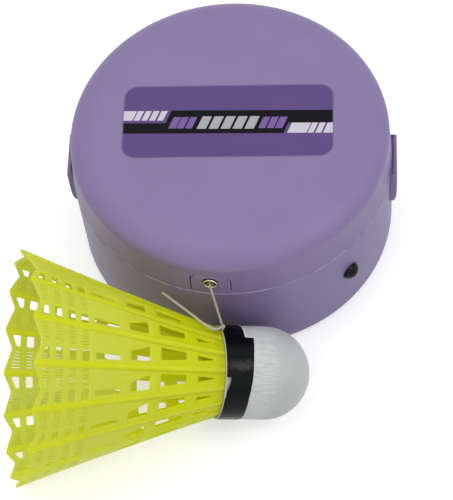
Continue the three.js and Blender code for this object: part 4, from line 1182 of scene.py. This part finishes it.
# Painted glow: the nylon gives off a little light in its own colour, which lifts its shaded inside
put(tree, sockets["Emission Color"], tint)
sockets["Emission Strength"].default_value = nylonLook["glow"]
lit = node(tree, "ShaderNodeBsdfTranslucent", {"Color": nylonLook["through"]})
both = node(tree, "ShaderNodeMixShader", {
    0: nylonLook["share"], 1: tree.nodes["Principled BSDF"].outputs[0], 2: lit.outputs[0]})
put(tree, tree.nodes["Material Output"].inputs["Surface"], both.outputs[0])
grow(cell, featherTree, featherIds, {"Feathers": feathers, "Merge distance": 0.01 * mm, "Material": nylon})

# Collar: the moulded ring and stem that the head is pushed on, in one body with the feathers
collar = {"top": 52.6, "lip": 55.55, "outer": 12.45, "inner": 8.3, "stem": 9.4, "end": 65.2}
top, lip, outer, bore, stem, end = collar.values()
collarProfile = rounded([
    (bore, -end, 0.2), (stem, -end, 0.2), (stem, -lip), (outer, -lip, 0.1), (outer, -top, 0.3),
    (bore, -top, 0.3)])
collarBody = build("collar", *lathe(collarProfile, 96))
toPlace = Matrix.Translation(shuttleFrame.translation * mm) @ shuttleFrame.to_3x3().to_4x4()
work = bmesh.new()
work.from_mesh(cell.data)
work.from_mesh(collarBody.data)
bmesh.ops.recalc_face_normals(work, faces=work.faces)
bmesh.ops.transform(work, matrix=toPlace, verts=work.verts)
work.to_mesh(cell.data)
print("skirt triangles", sum(len(f.verts) - 2 for f in work.faces),
      "open edges", sum(len(e.link_faces) != 2 for e in work.edges))
work.free()
bpy.data.objects.remove(collarBody)
finish(cell, nylon, "shuttle", ["shuttle_skirt"], 40, weighted=False)
print("skirt made")

# Head: a dome with a waist under the tape, skinned in creased synthetic leather
head = {
    "radius": 13.1, "centre": 69.2, "dome": 12.9, "straight": (66.5, 64), "rise": (60.9, 62.2),
    "riseSteps": 8, "waist": 12.35, "waistEnd": 60, "start": 55.5, "bore": 9.7, "boreEnd": 65.5,
    "pocket": 5.3, "pocketEnd": 68.8, "sides": 160, "low": linear(187, 193, 193),
    "high": linear(212, 217, 216), "roughness": 0.5, "depth": 0.28, "puckers": 1.4,
    "tapeCreases": (-74, -66), "tipCreases": (-80, -72, 0.25, 1),
}
radius, waist, start, bore, pocket = (head[k] for k in ("radius", "waist", "start", "bore", "pocket"))
profile = arcPoints(0, -head["centre"], radius, head["dome"], -90, 0, 40)
profile += [(radius, -head["straight"][0]), (radius - 0.02, -head["straight"][1])]
riseFrom, riseTo = head["rise"]
for k in range(head["riseSteps"] + 1):
    s = k / head["riseSteps"]
    r = waist + (radius - 0.05 - waist) * step01(1 - s)
    profile.append((r, -(riseTo + (riseFrom - riseTo) * s)))
profile += rounded([
    (waist, -head["waistEnd"]), (waist, -start, 0.2), (bore, -start, 0.2), (bore, -head["boreEnd"]),
    (pocket, -head["boreEnd"]), (pocket, -head["pocketEnd"]), (0, -head["pocketEnd"])], closed=False)
ball = build("shuttle_cork_look", *lathe(profile, head["sides"], closed=False), shuttleFrame)
corkSkin, tree, sockets, coordinates = newMaterial(
    "cork_skin", Subsurface_Weight=0.1, Subsurface_Scale=0.8 * mm, Sheen_Weight=0.3, Sheen_Roughness=0.45)
own = ownPlace(tree, coordinates)
tilted = mapped(tree, own, Rotation=(0.5, 0.9, 0.6), Scale=(0.9, 4.5, 0.5))
creases = noisy(tree, tilted, 1.0, 3, Roughness=0.55, Distortion=0.5)
puckers = noisy(tree, mapped(tree, own, Scale=(3.4, 3.4, 0.26)), 1.0)
fromTip = parted(tree, own)[2]
nearTape = times(tree, puckers, spread(tree, fromTip, *head["tapeCreases"]))
offTip = times(tree, creases, spread(tree, fromTip, *head["tipCreases"]))
height = calc(tree, "MULTIPLY_ADD", nearTape, head["puckers"], offTip)
# Painted shade: the skin is darker where the creases and puckers sink and paler on their crests
put(tree, sockets["Base Color"], blended(tree, spread(tree, height, 0.5, 1.4), head["low"], head["high"]))
put(tree, sockets["Roughness"], head["roughness"])
bump(tree, sockets, height, head["depth"])
finish(ball, corkSkin, "shuttle", ["shuttle_cork"])

# Tape: a crinkled strip, cut in steps where it overlaps; its starts and ends are (angle, mm from the tips)
tape = {
    "radius": 13.26, "edge": 0.1, "under": 12.42, "lip": 13.0, "inside": (61.9, 60.7), "sides": 220, "rows": 18,
    "crinkle": 0.05, "wave": 0.8, "fade": 6, "seed": 3.7,
    "starts": [(0, 55.82), (26, 55.82), (55.6, 57.35), (56, 55.82), (360, 55.82)],
    "ends": [(0, 62.4), (30, 62.6), (52, 63.15), (84, 63.55), (109, 64.1), (109.6, 62), (180, 62.1),
             (360, 62.4)],
    "black": linear(4, 6, 9), "cut": linear(243, 243, 246), "cutFrom": 109.4, "cutTo": 150, "cutHeight": -61.66,
    "stepFrom": 108.6, "stepHeight": -62.1, "roughness": (0.16, 0.28), "depth": 0.05,
}
rings = []
corners = {a for a, _ in tape["starts"][1:-1] + tape["ends"][1:-1]}
for angle in sorted({360 * k / tape["sides"] for k in range(tape["sides"])} | corners):
    start, end = between(tape["starts"], angle), between(tape["ends"], angle)
    a = math.radians(angle)
    ring = []
    for j in range(tape["rows"] + 1):
        s = j / tape["rows"]
        t = start + (end - start) * s
        spot = Vector((13 * math.cos(a), 13 * math.sin(a), t * 0.9 + 3 * math.sin(a)))
        wave = noise.noise(spot * tape["wave"] + Vector((tape["seed"], 0, 0)))
        fade = min(1, tape["fade"] * s, tape["fade"] * (1 - s))
        r = tape["radius"] - tape["edge"] * (1 - fade) + tape["crinkle"] * wave * fade
        ring.append(roundAxis(a, r, -t))
    inTop, inFoot = tape["inside"]
    for t, r in ((end, tape["lip"]), (inTop, tape["lip"]), (inFoot, tape["under"]), (start, tape["under"])):
        ring.append(roundAxis(a, r, -t))
    rings.append(ring)
band = build("tape_band_look", *loft(rings + [rings[0]], capped=False), shuttleFrame, merge=0.001)
neckTape, tree, sockets, coordinates = newMaterial("neck_tape", Specular_IOR_Level=0.12)
own = ownPlace(tree, coordinates)
crinkle = noisy(tree, own, 0.55, 3, Distortion=1.2)
put(tree, sockets["Roughness"], spread(tree, crinkle, 0.3, 0.7, *tape["roughness"]))
bump(tree, sockets, crinkle, tape["depth"])
x, y, along = parted(tree, own)
turnedHere = times(tree, calc(tree, "ARCTAN2", y, x), 360 / tau)


def past(limit):
    return calc(tree, "GREATER_THAN", turnedHere, limit)


def lower(limit):
    return calc(tree, "LESS_THAN", along, limit)


# Painted highlight: a thin white line along the tape's cut edge and along its step
afterCut = times(tree, past(tape["cutFrom"]), calc(tree, "LESS_THAN", turnedHere, tape["cutTo"]))
cutEdge = times(tree, afterCut, lower(tape["cutHeight"]))
stepEdge = times(tree, past(tape["stepFrom"]), lower(tape["stepHeight"]))
cut = calc(tree, "MAXIMUM", cutEdge, stepEdge)
put(tree, sockets["Base Color"], blended(tree, cut, tape["black"], tape["cut"]))
finish(band, neckTape, "shuttle", ["tape_band"], 50, weighted=False)
print("head and tape made")

# Cords: the lead stretches between the case and the shuttlecock, the rest rides with the shuttlecock
finish(leadCord, cordCover, None, ["cord_run", "cord_lead"], 60, weighted=False)
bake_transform(leadCord)
finish(tieCord, cordCover, "shuttle", ["cord_tie", "cord_tail"], 60, weighted=False)
finish(knotPiece, cordCover, "shuttle", ["cord_knot"], 60, weighted=False)


def lengthOf(points):
    return round(sum((Vector(b) - Vector(a)).length for a, b in zip(points, points[1:])) * mm, 4)


lengthOf(leadRoute)
[Vector(p) * mm for p in leadRoute]
lengthOf(freeRoute)
print("cords", lengthOf(leadRoute), lengthOf(freeRoute))

# Floor, light level and backdrop: the white is only for rays that show the background
stage = {
    "floor": (0.72, 0.72, 0.72, 1), "floorRoughness": 0.9, "floorSpecular": 0.1, "floorHalf": 3000, "glow": 0.5,
    "sky": 0.6, "backdrop": 1.0,
}


def backgroundRays(tree):
    seen = node(tree, "ShaderNodeLightPath").outputs
    shown = calc(tree, "MAXIMUM", seen["Is Camera Ray"], seen["Is Glossy Ray"])
    return calc(tree, "MAXIMUM", shown, seen["Is Transmission Ray"])


half = stage["floorHalf"]
floorCorners = [(x * half, y * half, -0.01) for x, y in ((-1, -1), (1, -1), (1, 1), (-1, 1))]
floor = build("floor", floorCorners, [(0, 1, 2, 3)])
floorLook, tree, sockets, _ = newMaterial("floor", Specular_IOR_Level=stage["floorSpecular"])
sockets["Base Color"].default_value = stage["floor"]
sockets["Roughness"].default_value = stage["floorRoughness"]
sockets["Emission Color"].default_value = (1, 1, 1, 1)
put(tree, sockets["Emission Strength"], times(tree, backgroundRays(tree), stage["glow"]))
floor.data.materials.append(floorLook)
world = bpy.data.worlds.new("world")
world.use_nodes = True
scene.world = world
tree = world.node_tree
sockets = tree.nodes["Background"].inputs
sockets["Color"].default_value = (1, 1, 1, 1)
brightness = calc(tree, "MULTIPLY_ADD", backgroundRays(tree), stage["backdrop"] - stage["sky"], stage["sky"])
put(tree, sockets["Strength"], brightness)

# Lamps: place, size in metres and power
lamps = {
    "key": ((-0.3, 0.15, 1.2), 1, 4.15), "front": ((0.55, -0.9, 0.9), 1, 0.9),
    "band": ((0.6, -0.22, 1.04), 0.36, 2.2), "glint": ((1.09, -0.33, 0.62), 0.06, 0.3),
}
for name, (spot, size, power) in lamps.items():
    light = bpy.data.objects.new(name, bpy.data.lights.new(name, "AREA"))
    light.data.size, light.data.energy = size, power
    light.location = spot
    light.rotation_euler = (-Vector(spot)).to_track_quat("-Z", "Y").to_euler()
    scene.collection.objects.link(light)
print("stage made")
